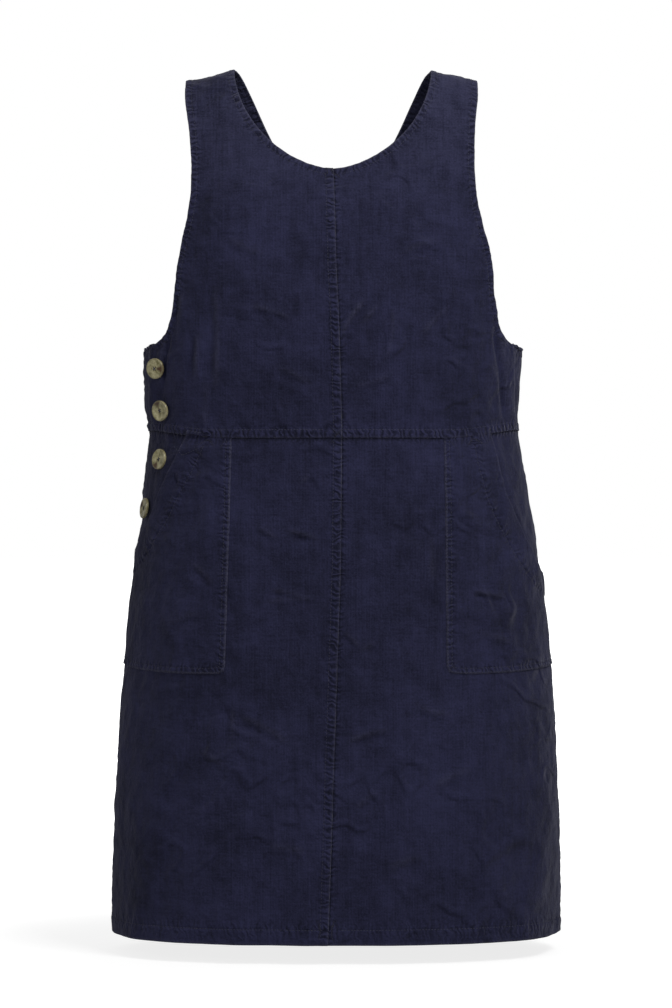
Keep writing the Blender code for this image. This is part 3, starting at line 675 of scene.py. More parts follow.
def sewStitches(name, rows):
    shape, faces = beadShape()
    at, ahead, beside, up = (np.concatenate([row[k] for row in rows]) for k in range(4))
    points = (at[:, None] + shape[None, :, :1] * ahead[:, None]
              + shape[None, :, 1:2] * beside[:, None] + shape[None, :, 2:] * up[:, None])
    allFaces = [tuple(v + k * len(shape) for v in face) for k in range(len(at)) for face in faces]
    mesh = bpy.data.meshes.new(name)
    mesh.from_pydata(points.reshape(-1, 3).tolist(), [], allFaces)
    mesh.materials.append(sewingThread)
    piece = bpy.data.objects.new(name, mesh)
    bpy.context.scene.collection.objects.link(piece)
    bpy.ops.object.select_all(action="DESELECT")
    piece.select_set(True)
    bpy.context.view_layer.objects.active = piece
    bpy.ops.object.mode_set(mode="EDIT")
    bpy.ops.mesh.select_all(action="SELECT")
    bpy.ops.mesh.normals_make_consistent(inside=False)
    bpy.ops.object.mode_set(mode="OBJECT")
    bpy.ops.object.shade_smooth()
    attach(piece, "root")
    print(name, len(at), "stitches")
    return piece


# Node helpers
def addNode(tree, kind, inputs=None, **settings):
    node = tree.nodes.new(kind)
    for key, value in settings.items():
        setattr(node, key, value)
    for key, value in (inputs or {}).items():
        if isinstance(value, bpy.types.NodeSocket):
            tree.links.new(value, node.inputs[key])
        else:
            node.inputs[key].default_value = value
    return node


def mathNode(tree, operation, *values):
    return addNode(tree, "ShaderNodeMath", dict(enumerate(values)), operation=operation).outputs[0]


def noiseNode(tree, vector, scale, detail=2.0, roughness=0.5):
    return addNode(tree, "ShaderNodeTexNoise", {"Vector": vector, "Scale": scale, "Detail": detail,
                                                "Roughness": roughness}).outputs["Fac"]


def scaled(tree, vector, size):
    return addNode(tree, "ShaderNodeVectorMath", {0: vector, 1: size}, operation="MULTIPLY").outputs[0]


def centred(tree, value, gain):
    # a 0 to 1 value turned into one around zero
    return mathNode(tree, "MULTIPLY", mathNode(tree, "SUBTRACT", value, 0.5), gain)


def makeGroup(name, inputs, outputs):
    group = bpy.data.node_groups.new(name, "ShaderNodeTree")
    for label, kind, value in inputs:
        socket = group.interface.new_socket(label, in_out="INPUT", socket_type=kind)
        if value is not None:
            socket.default_value = value
    for label, kind in outputs:
        group.interface.new_socket(label, in_out="OUTPUT", socket_type=kind)
    return group, group.nodes.new("NodeGroupInput"), group.nodes.new("NodeGroupOutput")


# Cord ribs, streaks along them and nap, from the cloth's own map in metres
def makeCordWeave():
    group, given, result = makeGroup(
        "cordWeave",
        [("Cloth Map", "NodeSocketVector", None), ("Pitch", "NodeSocketFloat", 0.0017),
         ("Rib Height", "NodeSocketFloat", 0.00016), ("Nap Height", "NodeSocketFloat", 0.00010)],
        [("Tone", "NodeSocketFloat"), ("Height", "NodeSocketFloat")],
    )
    place = given.outputs["Cloth Map"]
    apart = addNode(group, "ShaderNodeSeparateXYZ", {0: place})
    wander = centred(group, noiseNode(group, scaled(group, place, (70, 12, 1)), 1.0), 0.0010)
    across = mathNode(group, "ADD", apart.outputs["X"], wander)
    turn = mathNode(group, "MULTIPLY", mathNode(group, "DIVIDE", across, given.outputs["Pitch"]), 2 * math.pi)
    rib = mathNode(group, "MULTIPLY_ADD", mathNode(group, "SINE", turn), 0.5, 0.5)
    rib = mathNode(group, "POWER", rib, 0.6)
    streak = noiseNode(group, scaled(group, place, (430, 22, 1)), 1.0, 3.0)
    broad = noiseNode(group, scaled(group, place, (95, 7, 1)), 1.0, 2.0)
    weft = noiseNode(group, scaled(group, place, (40, 420, 1)), 1.0, 3.0)
    nap = noiseNode(group, place, 460.0, 4.0, 0.75)
    tone = mathNode(group, "ADD", centred(group, streak, 0.75), centred(group, broad, 0.45))
    tone = mathNode(group, "ADD", tone, centred(group, weft, 0.60))
    tone = mathNode(group, "ADD", tone, centred(group, nap, 2.1))
    tone = mathNode(group, "ADD", tone, centred(group, rib, 0.20))
    group.links.new(mathNode(group, "ADD", tone, 0.5), result.inputs["Tone"])
    height = mathNode(group, "MULTIPLY", rib, given.outputs["Rib Height"])
    rough = mathNode(group, "ADD", nap, mathNode(group, "MULTIPLY", weft, 0.6))
    height = mathNode(group, "MULTIPLY_ADD", rough, given.outputs["Nap Height"], height)
    group.links.new(height, result.inputs["Height"])
    return group


# Patches that fade lighter and darker, and the rumple of washed cloth, in object space
def makeWash():
    group, given, result = makeGroup(
        "wash",
        [("Place", "NodeSocketVector", None), ("Rumple", "NodeSocketFloat", 0.0012)],
        [("Mottle", "NodeSocketFloat"), ("Height", "NodeSocketFloat")],
    )
    place = given.outputs["Place"]
    large = noiseNode(group, place, 11.0, 3.0, 0.55)
    small = noiseNode(group, place, 65.0, 4.0, 0.6)
    mottle = mathNode(group, "ADD", centred(group, large, 0.9), centred(group, small, 0.7))
    group.links.new(mathNode(group, "ADD", mottle, 0.5), result.inputs["Mottle"])
    soft = noiseNode(group, scaled(group, place, (1.0, 1.0, 0.75)), 38.0, 3.0, 0.5)
    fine = noiseNode(group, place, 120.0, 3.0, 0.5)
    height = mathNode(group, "MULTIPLY_ADD", fine, 0.42, soft)
    # thin curved fold lines where a slow noise crosses its middle, in patches
    for size, patch, gain in ((9.0, 6.0, 0.58), (21.0, 11.0, 0.44)):
        slow = noiseNode(group, place, size, 1.0)
        curve = mathNode(group, "ABSOLUTE", mathNode(group, "SUBTRACT", slow, 0.5))
        line = addNode(group, "ShaderNodeMapRange",
                       {"Value": curve, "From Min": 0.0, "From Max": 0.085, "To Min": 1.0, "To Max": 0.0},
                       interpolation_type="SMOOTHERSTEP").outputs[0]
        patches = noiseNode(group, scaled(group, place, (-1, 1, 1)), patch, 1.0)
        where = addNode(group, "ShaderNodeMapRange",
                        {"Value": patches, "From Min": 0.50, "From Max": 0.62}).outputs[0]
        height = mathNode(group, "MULTIPLY_ADD", mathNode(group, "MULTIPLY", line, where), gain, height)
    group.links.new(mathNode(group, "MULTIPLY", height, given.outputs["Rumple"]), result.inputs["Height"])
    return group


cordWeave = makeCordWeave()
wash = makeWash()

clothLook = {
    "dark": (0.0053, 0.0058, 0.0190, 1), "light": (0.0195, 0.0204, 0.0560, 1),
    # the pale colour of rubbed wear, also used for the painted light towards the shoulders
    "worn": (0.058, 0.058, 0.098, 1),
    "roughness": 0.92, "sheen": 0.10, "sheenRoughness": 0.45, "sheenTint": (0.70, 0.70, 0.90, 1),
    "ribPitch": 0.0017, "ribHeight": 0.00014, "napHeight": 0.00035, "rumple": 0.0042,
    "gather": 0.00100, "gatherPitch": 0.0064,
}


def clothMaterial(name, ribHeight, lightness):
    material = bpy.data.materials.new(name)
    material.use_nodes = True
    tree = material.node_tree
    shader = tree.nodes["Principled BSDF"]
    clothMap = addNode(tree, "ShaderNodeUVMap", uv_map="clothMap").outputs["UV"]
    place = addNode(tree, "ShaderNodeTexCoord").outputs["Object"]
    weave = addNode(tree, "ShaderNodeGroup", node_tree=cordWeave)
    tree.links.new(clothMap, weave.inputs["Cloth Map"])
    weave.inputs["Pitch"].default_value = clothLook["ribPitch"]
    weave.inputs["Rib Height"].default_value = ribHeight
    weave.inputs["Nap Height"].default_value = clothLook["napHeight"]
    washed = addNode(tree, "ShaderNodeGroup", node_tree=wash)
    tree.links.new(place, washed.inputs["Place"])
    washed.inputs["Rumple"].default_value = clothLook["rumple"]
    # small gathers across the sewn bands
    seam = addNode(tree, "ShaderNodeAttribute", attribute_name="seam").outputs["Vector"]
    apart = addNode(tree, "ShaderNodeSeparateXYZ", {0: seam})
    lean = mathNode(tree, "MULTIPLY_ADD", apart.outputs["Y"], 0.12, apart.outputs["X"])
    stray = centred(tree, noiseNode(tree, place, 80.0, 2.0), 19.0)
    turn = mathNode(tree, "MULTIPLY_ADD", lean, 2 * math.pi / clothLook["gatherPitch"], stray)
    gather = mathNode(tree, "MULTIPLY", mathNode(tree, "SINE", turn), apart.outputs["Z"])
    broken = mathNode(tree, "SMOOTH_MIN", noiseNode(tree, place, 70.0, 1.0), 0.8, 0.1)
    patchy = mathNode(tree, "MULTIPLY", gather, broken)
    wearAndShade = addNode(tree, "ShaderNodeAttribute", attribute_name="wearAndShade").outputs["Fac"]

    tone = mathNode(tree, "ADD", weave.outputs["Tone"], centred(tree, washed.outputs["Mottle"], 1.5))
    # painted light and shade: the tone goes lighter on the gathers' crests and darker in their troughs, in
    # step with their bump
    tone = mathNode(tree, "MULTIPLY_ADD", patchy, 0.80, tone)
    # painted shade: values below zero darken the tone along lapped seams, most at the waist
    tone = mathNode(tree, "MULTIPLY_ADD", mathNode(tree, "MINIMUM", wearAndShade, 0.0), 1.2, tone)
    tone = mathNode(tree, "MULTIPLY", tone, lightness)
    base = addNode(tree, "ShaderNodeMix", data_type="RGBA", clamp_factor=True)
    tree.links.new(tone, base.inputs[0])
    base.inputs[6].default_value, base.inputs[7].default_value = clothLook["dark"], clothLook["light"]
    grainy = mathNode(tree, "MULTIPLY_ADD", weave.outputs["Tone"], 0.8, 0.15)
    wearAndTopLight = mathNode(tree, "MULTIPLY", wearAndShade, grainy)
    # painted light: paler towards the shoulders, standing in for the key light falling from above
    upwards = addNode(tree, "ShaderNodeSeparateXYZ", {0: place}).outputs["Z"]
    fade = addNode(tree, "ShaderNodeMapRange",
                   {"Value": upwards, "From Min": -0.20, "From Max": -0.01, "To Min": 0.0, "To Max": 0.26},
                   interpolation_type="SMOOTHSTEP").outputs[0]
    wearAndTopLight = mathNode(tree, "ADD", mathNode(tree, "MAXIMUM", wearAndTopLight, 0.0),
                      mathNode(tree, "MULTIPLY", fade, tone))
    # mixes in the pale colour for rubbed wear and for the painted light towards the shoulders
    worn = addNode(tree, "ShaderNodeMix", data_type="RGBA", clamp_factor=True)
    tree.links.new(wearAndTopLight, worn.inputs[0])
    tree.links.new(base.outputs[2], worn.inputs[6])
    worn.inputs[7].default_value = clothLook["worn"]
    tree.links.new(worn.outputs[2], shader.inputs["Base Color"])

    height = mathNode(tree, "ADD", weave.outputs["Height"], washed.outputs["Height"])
    height = mathNode(tree, "MULTIPLY_ADD", patchy, clothLook["gather"], height)
    bump = addNode(tree, "ShaderNodeBump", {"Height": height, "Distance": 1.0, "Strength": 1.0})
    tree.links.new(bump.outputs["Normal"], shader.inputs["Normal"])
    shader.inputs["Roughness"].default_value = clothLook["roughness"]
    shader.inputs["Specular IOR Level"].default_value = 0.20
    shader.inputs["Sheen Weight"].default_value = clothLook["sheen"]
    shader.inputs["Sheen Roughness"].default_value = clothLook["sheenRoughness"]
    shader.inputs["Sheen Tint"].default_value = clothLook["sheenTint"]
    return material


needlecord = clothMaterial("needlecord", clothLook["ribHeight"], 1.0)
wrongSide = clothMaterial("needlecordWrongSide", 0.00003, 0.8)

threadLook = {"dark": (0.009, 0.0095, 0.024, 1), "light": (0.040, 0.041, 0.075, 1),
              "roughness": 0.7, "twist": 2600.0}
sewingThread = bpy.data.materials.new("sewingThread")
sewingThread.use_nodes = True
threadTree = sewingThread.node_tree
threadShader = threadTree.nodes["Principled BSDF"]
threadPlace = addNode(threadTree, "ShaderNodeTexCoord").outputs["Object"]
threadTone = noiseNode(threadTree, threadPlace, threadLook["twist"], 2.0)
threadMix = addNode(threadTree, "ShaderNodeMix", data_type="RGBA")
threadTree.links.new(threadTone, threadMix.inputs[0])
threadMix.inputs[6].default_value = threadLook["dark"]
threadMix.inputs[7].default_value = threadLook["light"]
threadTree.links.new(threadMix.outputs[2], threadShader.inputs["Base Color"])
threadBump = addNode(threadTree, "ShaderNodeBump", {"Height": threadTone, "Distance": 0.0001,
                                                    "Strength": 1.0})
threadTree.links.new(threadBump.outputs["Normal"], threadShader.inputs["Normal"])
threadShader.inputs["Roughness"].default_value = threadLook["roughness"]

hornLook = {
    "cream": (0.470, 0.430, 0.255, 1), "olive": (0.150, 0.135, 0.055, 1), "brown": (0.060, 0.030, 0.012, 1),
    # rim: a darker edge colour, painted shade standing in for the shadow round each button
    "rim": (0.190, 0.165, 0.090, 1), "roughness": 0.26, "coat": 0.35,
}
hornResin = bpy.data.materials.new("hornResin")
hornResin.use_nodes = True
hornTree = hornResin.node_tree
hornShader = hornTree.nodes["Principled BSDF"]
hornPlace = addNode(hornTree, "ShaderNodeTexCoord").outputs["Object"]
hornFace = addNode(hornTree, "ShaderNodeAttribute", attribute_name="buttonFace").outputs["Vector"]
hornApart = addNode(hornTree, "ShaderNodeSeparateXYZ", {0: hornFace})
cloud = noiseNode(hornTree, hornPlace, 170.0, 4.0, 0.6)
grain = noiseNode(hornTree, hornPlace, 620.0, 3.0, 0.6)
hornMix = addNode(hornTree, "ShaderNodeValToRGB")
hornMix.color_ramp.elements[0].position, hornMix.color_ramp.elements[0].color = 0.34, hornLook["olive"]
hornMix.color_ramp.elements[1].position, hornMix.color_ramp.elements[1].color = 0.62, hornLook["cream"]
hornTree.links.new(mathNode(hornTree, "MULTIPLY_ADD", centred(hornTree, grain, 0.25), 1.0, cloud),
                   hornMix.inputs["Fac"])
# a brown streak runs from the middle to one side of each button
spine = mathNode(hornTree, "SUBTRACT", hornApart.outputs["Y"],
                 mathNode(hornTree, "MULTIPLY", mathNode(hornTree, "ABSOLUTE", hornApart.outputs["X"]), 1.15))
spine = mathNode(hornTree, "ADD", spine, centred(hornTree, cloud, 1.3))
streakMask = addNode(hornTree, "ShaderNodeMapRange", {"Value": spine, "From Min": 0.06, "From Max": 0.46},
                     clamp=True).outputs[0]
brownMix = addNode(hornTree, "ShaderNodeMix", data_type="RGBA")
hornTree.links.new(streakMask, brownMix.inputs[0])
hornTree.links.new(hornMix.outputs["Color"], brownMix.inputs[6])
brownMix.inputs[7].default_value = hornLook["brown"]
# painted shade: the colour darkens towards each button's edge, standing in for the shadow round it
away = addNode(hornTree, "ShaderNodeVectorMath", {0: scaled(hornTree, hornFace, (1, 1, 0))},
               operation="LENGTH").outputs["Value"]
rimShadeMask = addNode(hornTree, "ShaderNodeMapRange", {"Value": away, "From Min": 0.80, "From Max": 0.93,
                                                   "To Max": 0.6}, clamp=True).outputs[0]
rimShadeMix = addNode(hornTree, "ShaderNodeMix", data_type="RGBA")
hornTree.links.new(rimShadeMask, rimShadeMix.inputs[0])
hornTree.links.new(brownMix.outputs[2], rimShadeMix.inputs[6])
rimShadeMix.inputs[7].default_value = hornLook["rim"]
hornTree.links.new(rimShadeMix.outputs[2], hornShader.inputs["Base Color"])
hornBump = addNode(hornTree, "ShaderNodeBump", {"Height": grain, "Distance": 0.00012, "Strength": 0.6})
hornTree.links.new(hornBump.outputs["Normal"], hornShader.inputs["Normal"])
hornShader.inputs["Roughness"].default_value = hornLook["roughness"]
hornShader.inputs["Coat Weight"].default_value = hornLook["coat"]
hornShader.inputs["Coat Roughness"].default_value = 0.12
print("materials made")


# Bodice fronts, each cut in one with its strap
bodiceFront = {"stages": (0.082, 0.190, 0.160), "coarse": 0.0019, "across": 0.215}


def bodiceFrontGrid(half):
    under = cloth["underlap"] if half > 0 else 0.0
    total = sum(bodiceFront["stages"])
    rows = spread(total, bodiceFront["coarse"], [0, 0.009, total])
    shares = spread(bodiceFront["across"], 0.0023, [0, 0.0065, bodiceFront["across"] - 0.007,
                                                    bodiceFront["across"]]) / bodiceFront["across"]
    bottomAlong = float(frontWaist(0.0))
    matchAlong = float(alongAt("front", seamMatch))
    centre = lambda along: np.stack([half * seamLean(along) - under, along], axis=1)
    outer = lambda along: np.stack([halfGirthAt("front", along), along], axis=1)
    leftParts = [centre(np.linspace(bottomAlong, matchAlong, 40)),
                 centre(np.linspace(matchAlong, neckAlong, 60)),
                 neckHalf(float(half * seamLean(neckAlong)) - under)]
    rightParts = [outer(np.linspace(waistAlong["front"], float(alongAt("front", levels["underarm"])), 40)),
                  armholePart(levels["underarm"], armholeMiddle), armholePart(armholeMiddle, 0.0)]
    ends = np.concatenate([[0], np.cumsum(bodiceFront["stages"])])
    left, right = np.zeros((len(rows), 2)), np.zeros((len(rows), 2))
    for k in range(3):
        here = (rows >= ends[k]) & (rows <= ends[k + 1])
        part = (rows[here] - ends[k]) / (ends[k + 1] - ends[k])
        left[here], right[here] = atShares(leftParts[k], part), atShares(rightParts[k], part)
    girths = left[0, 0] + shares * (right[0, 0] - left[0, 0])
    start = np.stack([girths, frontWaist(girths)], axis=1)
    start[0], start[-1] = left[0], right[0]
    end = left[-1] + shares[:, None] * (right[-1] - left[-1])
    grid = filledPatch(left, right, start, end, rows / total, shares)
    return grid * (half, 1)


def buildBodiceFront(half, label):
    node = "bodice_front_" + label.lower()
    panel = {
        "side": "front", "off": cloth["face"],
        "edges": [("proud", paths["waistFront"]), ("turned", paths["neckline"]),
                  ("turned", paths["armhole" + label]),
                  ("plain", paths["shoulder" + label]),
                  ("under" if half > 0 else "proud", paths["centreFront"]),
                  ("plain" if half > 0 else "turned", paths["opening" + label])],
        "beyond": {"centreFront": lambda girth, along: girth < seamLean(along)},
    }
    piece = newSheet("bodiceFront" + label, panel, bodiceFrontGrid(half))
    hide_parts(node)
    inside = (half * 0.15, 0.25)
    stitchAlong("stitchesFront", panel, paths["armhole" + label], 0.0070, inside)
    stitchAlong("stitchesFront", panel, halfOf(paths["neckline"], half), 0.0070, (half * 0.13, 0.25))
    stitchAlong("stitchesFront", panel, halfOf(paths["waistFront"], half), 0.0090, (half * 0.15, 0.30))
    if half < 0:
        upper = alongPart(paths["centreFront"], neckAlong, float(frontWaist(0.0)))
        stitchAlong("stitchesFront", panel, upper, 0.0090, (-0.1, 0.3))
        edge = alongPart(paths["openingRight"], 0, waistAlong["front"])
        stitchAlong("stitchesFront", panel, edge, 0.0070, (-0.1, 0.35))
    return piece


def halfOf(path, half):
    keep = path["edge"][:, 0] * half > 0.004
    return {"edge": path["edge"][keep]}


def alongPart(path, low, high):
    keep = (path["edge"][:, 1] > low) & (path["edge"][:, 1] < high)
    return {"edge": path["edge"][keep]}


# Skirt fronts
skirtFront = {"across": 0.300, "coarse": 0.0022, "coarseAcross": 0.0028}


def skirtFrontGrid(half):
    length = hemAlong["front"] - waistAlong["front"]
    under = cloth["underlap"]
    whole = length + under
    rows = spread(whole, skirtFront["coarse"], [under, whole - 0.0165, whole]) / whole
    shares = spread(skirtFront["across"], skirtFront["coarseAcross"],
                    [under, under + 0.009, skirtFront["across"]]) / skirtFront["across"]
    down, across = rows[:, None], shares[None, :]
    rough = waistAlong["front"] * (1 - down) + hemAlong["front"] * down
    inner = half * seamLean(rough) - (under if half > 0 else 0.0)
    girth = inner + (halfGirthAt("front", rough) - inner) * across
    start = frontWaist(girth) - under
    return np.stack([girth * half, start + (hemAlong["front"] - start) * down], axis=2)


def buildSkirtFront(half, label):
    node = "skirt_front_" + label.lower()
    edges = [("under", paths["waistFront"]), ("hem", paths["hemFront"]),
             ("under" if half > 0 else "proud", paths["centreFront"])]
    edges += [("plain", paths["sideLeft"])] if half > 0 else [("turned", paths["openingRight"]),
                                                              ("plain", paths["belowRight"])]
    panel = {
        "side": "front", "off": cloth["face"], "edges": edges,
        "beyond": {"centreFront": lambda girth, along: girth < seamLean(along),
                   "waistFront": lambda girth, along: along < frontWaist(girth)},
    }
    piece = newSheet("skirtFront" + label, panel, skirtFrontGrid(half))
    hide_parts(node)
    stitchAlong("stitchesSkirt", panel, halfOf(paths["hemFront"], half), 0.0165, (half * 0.15, 0.7))
    if half < 0:
        lower = alongPart(paths["centreFront"], float(frontWaist(0.0)), 9)
        stitchAlong("stitchesSkirt", panel, lower, 0.0090, (-0.1, 0.6))
        edge = alongPart(paths["openingRight"], waistAlong["front"], 9)
        stitchAlong("stitchesSkirt", panel, edge, 0.0070, (-0.1, 0.5))
    return piece


# Patch pockets: x of the inner edge at top and bottom, x of the mouth at the waist,
# height of its lower end and how far it bows
pockets = {
    "Left": {"half": 1, "innerTop": 0.1185, "innerBottom": 0.1207, "mouthTop": 0.170, "mouthEnd": -0.548,
             "bow": 0.009, "gape": 0.0016},
    "Right": {"half": -1, "innerTop": 0.1080, "innerBottom": 0.1157, "mouthTop": 0.156, "mouthEnd": -0.523,
              "bow": 0.000, "gape": 0.0024},
}
pocketSizes = {"bottom": -0.652, "sideBottom": -0.6471, "corner": 0.009, "sag": 0.0030, "under": 0.0020,
               "puff": 0.0016, "length": 0.262, "across": 0.190, "coarse": 0.0018, "coarseAcross": 0.0021}


def pocketEdges(pocket):
    # (girth, along) of the inner edge, mouth, side and bottom, all on the wearer's left
    share = np.linspace(0, 1, 80)
    topAlong = float(frontWaist(girthAt("front", waistAlong["front"],
                                        pocket["innerTop"]))) - pocketSizes["under"]
    bottomAlong = float(alongAt("front", pocketSizes["bottom"]))
    innerAlong = topAlong + (bottomAlong - topAlong) * share
    inner = np.stack([girthAt("front", innerAlong, pocket["innerTop"]
                              + (pocket["innerBottom"] - pocket["innerTop"]) * share), innerAlong], axis=1)
    mouthAlong = alongAt("front", levels["waistSide"] + (pocket["mouthEnd"] - levels["waistSide"]) * share)
    sideX = np.interp(alongAt("front", pocket["mouthEnd"]), halves["front"]["along"],
                      halves["front"]["width"])
    mouthX = pocket["mouthTop"] + (sideX - pocket["mouthTop"]) * share
    mouthX = mouthX - pocket["bow"] * np.sin(math.pi * share)
    mouth = np.stack([girthAt("front", mouthAlong, mouthX), mouthAlong], axis=1)
    mouth[0, 1] = float(frontWaist(mouth[0, 0])) - pocketSizes["under"]
    mouth[-1, 0] = halfGirthAt("front", mouth[-1, 1])
    sideAlong = alongAt("front", pocket["mouthEnd"] + (pocketSizes["sideBottom"] - pocket["mouthEnd"])
                        * share)
    side = np.stack([halfGirthAt("front", sideAlong), sideAlong], axis=1)
    corner = pocketSizes["corner"]
    bottomGirth = inner[-1, 0] + (side[-1, 0] - inner[-1, 0]) * share
    sag = pocketSizes["sag"] * np.sin(math.pi * share ** 0.6)
    bottom = np.stack([bottomGirth, bottomAlong + (side[-1, 1] - bottomAlong) * share + sag], axis=1)
    turn = np.linspace(0, math.pi / 4, 8)
    pivot = np.array([inner[-1, 0] + corner, bottomAlong - corner + 0.001])
    firstArc = pivot + corner * np.stack([-np.cos(turn), np.sin(turn)], axis=1)
    secondArc = pivot + corner * np.stack([-np.cos(turn + math.pi / 4), np.sin(turn + math.pi / 4)], axis=1)
    inner = np.concatenate([inner[inner[:, 1] < pivot[1] - 0.001], firstArc])
    bottom = np.concatenate([secondArc, bottom[bottom[:, 0] > pivot[0] + 0.004]])
    return inner, mouth, side, bottom


def buildPocket(label):
    pocket = pockets[label]
    half = pocket["half"]
    inner, mouth, side, bottom = pocketEdges(pocket)
    length, width = pocketSizes["length"], pocketSizes["across"]
    rows = spread(length, pocketSizes["coarse"], [pocketSizes["under"], length - 0.0062, length])
    shares = spread(width, pocketSizes["coarseAcross"], [0, 0.0062, width]) / width
    turnAt = 0.62 * length
    left = atShares(inner, rows / length)
    right = np.where((rows <= turnAt)[:, None], atShares(mouth, np.clip(rows / turnAt, 0, 1)),
                     atShares(side, np.clip((rows - turnAt) / (length - turnAt), 0, 1)))
    girths = left[0, 0] + shares * (right[0, 0] - left[0, 0])
    start = np.stack([girths, frontWaist(girths) - pocketSizes["under"]], axis=1)
    start[0], start[-1] = left[0], right[0]
    end = atShares(bottom, shares)
    end[0], end[-1] = left[-1], right[-1]
    grid = filledPatch(left, right, start, end, rows / length, shares) * (half, 1)
    named = {}
    for key, edge in (("Inner", inner), ("Mouth", mouth), ("Side", side), ("Bottom", bottom)):
        named[key] = makePath("pocket" + label + key, "front", half * edge[:, 0], edge[:, 1])
    around = np.concatenate([inner, bottom])
    named["Patch"] = makePath("pocket" + label + "Patch", "front", half * around[:, 0], around[:, 1])

    def shape(girth, along, bare):
        # the mouth stands off a little, and the bag fills out above its bottom edge
        toMouth, run = nearLine(bare, named["Mouth"]["points"])
        toPatch, _ = nearLine(bare, named["Patch"]["points"], 0.12)
        toPatch = np.minimum(toPatch, 0.12)
        mouthRun = np.linalg.norm(np.diff(mouth, axis=0), axis=1).sum()
        gape = pocket["gape"] * np.sin(math.pi * np.clip(run / mouthRun, 0, 1)) ** 1.5
        gape = gape * np.exp(-(toMouth / 0.028) ** 2)
        low = smoothStep(-0.50, -0.60, -np.abs(bare[:, 2]))
        return gape + pocketSizes["puff"] * smoothStep(0.0, 0.06, toPatch) * low

    panel = {
        "side": "front", "off": cloth["pocketFace"],
        "edges": [("patch", named["Patch"]), ("facing", named["Mouth"]), ("tuck", paths["waistFront"]),
                  ("tuck", named["Side"])],
        "shape": shape,
    }
    piece = newSheet("pocket" + label, panel, grid)
    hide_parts("pocket_" + label.lower())
    centre = (half * 0.19, float(alongAt("front", -0.60)))
    stitchAlong("stitchesPockets", panel, named["Patch"], 0.0062, centre, (0.006, 0.006))
    stitchAlong("stitchesPockets", panel, named["Patch"], 0.0016, centre, (0.006, 0.006))
    stitchAlong("stitchesPockets", panel, named["Mouth"], 0.0270,
                (half * 0.13, float(alongAt("front", -0.50))), (0.010, 0.050))
    return piece


# Back panels, from side seam to side seam
backPanels = {
    "bodiceBack": {"node": "bodice_back", "coarse": 0.0024, "coarseAcross": 0.0030, "flat": (0.512, 0.104),
                   "area": 0.0505},
    "skirtBack": {"node": "skirt_back", "coarse": 0.0028, "coarseAcross": 0.0040, "flat": (0.635, 0.555),
                  "area": 0.3290},
}


def buildBack(name, top, bottom, edges, beyond, focuses):
    sizes = backPanels[name]
    middle = bottom - float(top(0.0))
    rows = spread(middle, sizes["coarse"], [f if f >= 0 else middle + f for f in focuses]) / middle
    width = sizes["flat"][0]
    shares = spread(width, sizes["coarseAcross"], [0, width]) / width * 2 - 1
    start = top(shares)[None, :]
    along = start + (bottom - start) * rows[:, None]
    grid = np.stack([shares[None, :] * halfGirthAt("back", along), along], axis=2)
    panel = {"side": "back", "off": cloth["face"], "edges": edges, "beyond": beyond}
    piece = newSheet(name, panel, grid)
    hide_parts(sizes["node"])
    return panel


# Back straps, the left one over the right one
def strapFace(half, along):
    share = along / strapLength
    under = -strap["depth"] * smoothStep(0.0, strap["sink"], share)
    if half > 0:
        rise = smoothStep(strap["crossStart"], strap["crossStart"] + strap["crossRise"], share)
        fall = smoothStep(strap["crossEnd"], strap["crossEnd"] + strap["crossFall"], share)
        under = under + strap["crossLift"] * (rise - fall)
    return under + cloth["strapThick"] + 0.0001


def buildStrap(half, label):
    rows = spread(strapLength, 0.0022, [0, strapLength]) / strapLength
    shares = spread(0.05, 0.0016, [0, 0.0055, 0.0445, 0.05]) / 0.05
    along = (strapLength * rows)[:, None] + 0 * shares[None, :]
    bent = rows ** strap["bend"]
    x = (neck["halfWidth"] + (strap["landInner"] - neck["halfWidth"]) * bent)[:, None]
    outerX = (armholeX[-1] + (strap["landOuter"] - armholeX[-1]) * bent)[:, None]
    grid = np.stack([half * girthAt("back", along, x + (outerX - x) * shares[None, :]), along], axis=2)
    panel = {
        "side": "back", "off": lambda girth, along: strapFace(half, along), "creased": 0.0,
        "thick": cloth["strapThick"], "thin": cloth["strapThick"] * 0.8,
        "edges": [("turned", paths["strap" + label + "Inner"]), ("turned", paths["strap" + label + "Outer"]),
                  ("plain", paths["shoulder" + label])],
    }
    panel["mapGirth"] = np.stack([0 * along + 0.05 * shares[None, :], along], axis=2)
    piece = newSheet("strap" + label, panel, grid)
    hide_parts("strap_" + label.lower())
    for place in ("Inner", "Outer"):
        path = paths["strap" + label + place]
        centre = np.mean([strapEdge(half, outer, 0.5) for outer in (False, True)], axis=0)
        stitchAlong("stitchesStraps", panel, path, 0.0060, centre, (0.003, 0.014))
    return piece


# Button stand, the strip behind the side opening
stand = {"width": 0.034, "behind": 0.010, "face": -0.0012}


def buildStand():
    rows = spread(levels["standTop"] - levels["standBottom"], 0.0024, [0, 0.206])
    shares = spread(stand["width"], 0.0018, [0, stand["width"]]) / stand["width"]
    along = alongAt("front", levels["standTop"] - rows)[:, None] + 0 * shares[None, :]
    girth = -(halfGirthAt("front", along) + stand["behind"] - stand["width"] * shares[None, :])
    panel = {"side": "front", "off": stand["face"], "edges": [("plain", paths["openingRight"])]}
    piece = newSheet("buttonStand", panel, np.stack([girth, along], axis=2))
    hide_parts("button_stand")
    return piece


for half, label in ((1, "Left"), (-1, "Right")):
    buildBodiceFront(half, label)
    buildSkirtFront(half, label)
    buildPocket(label)
    buildStrap(half, label)
buildStand()

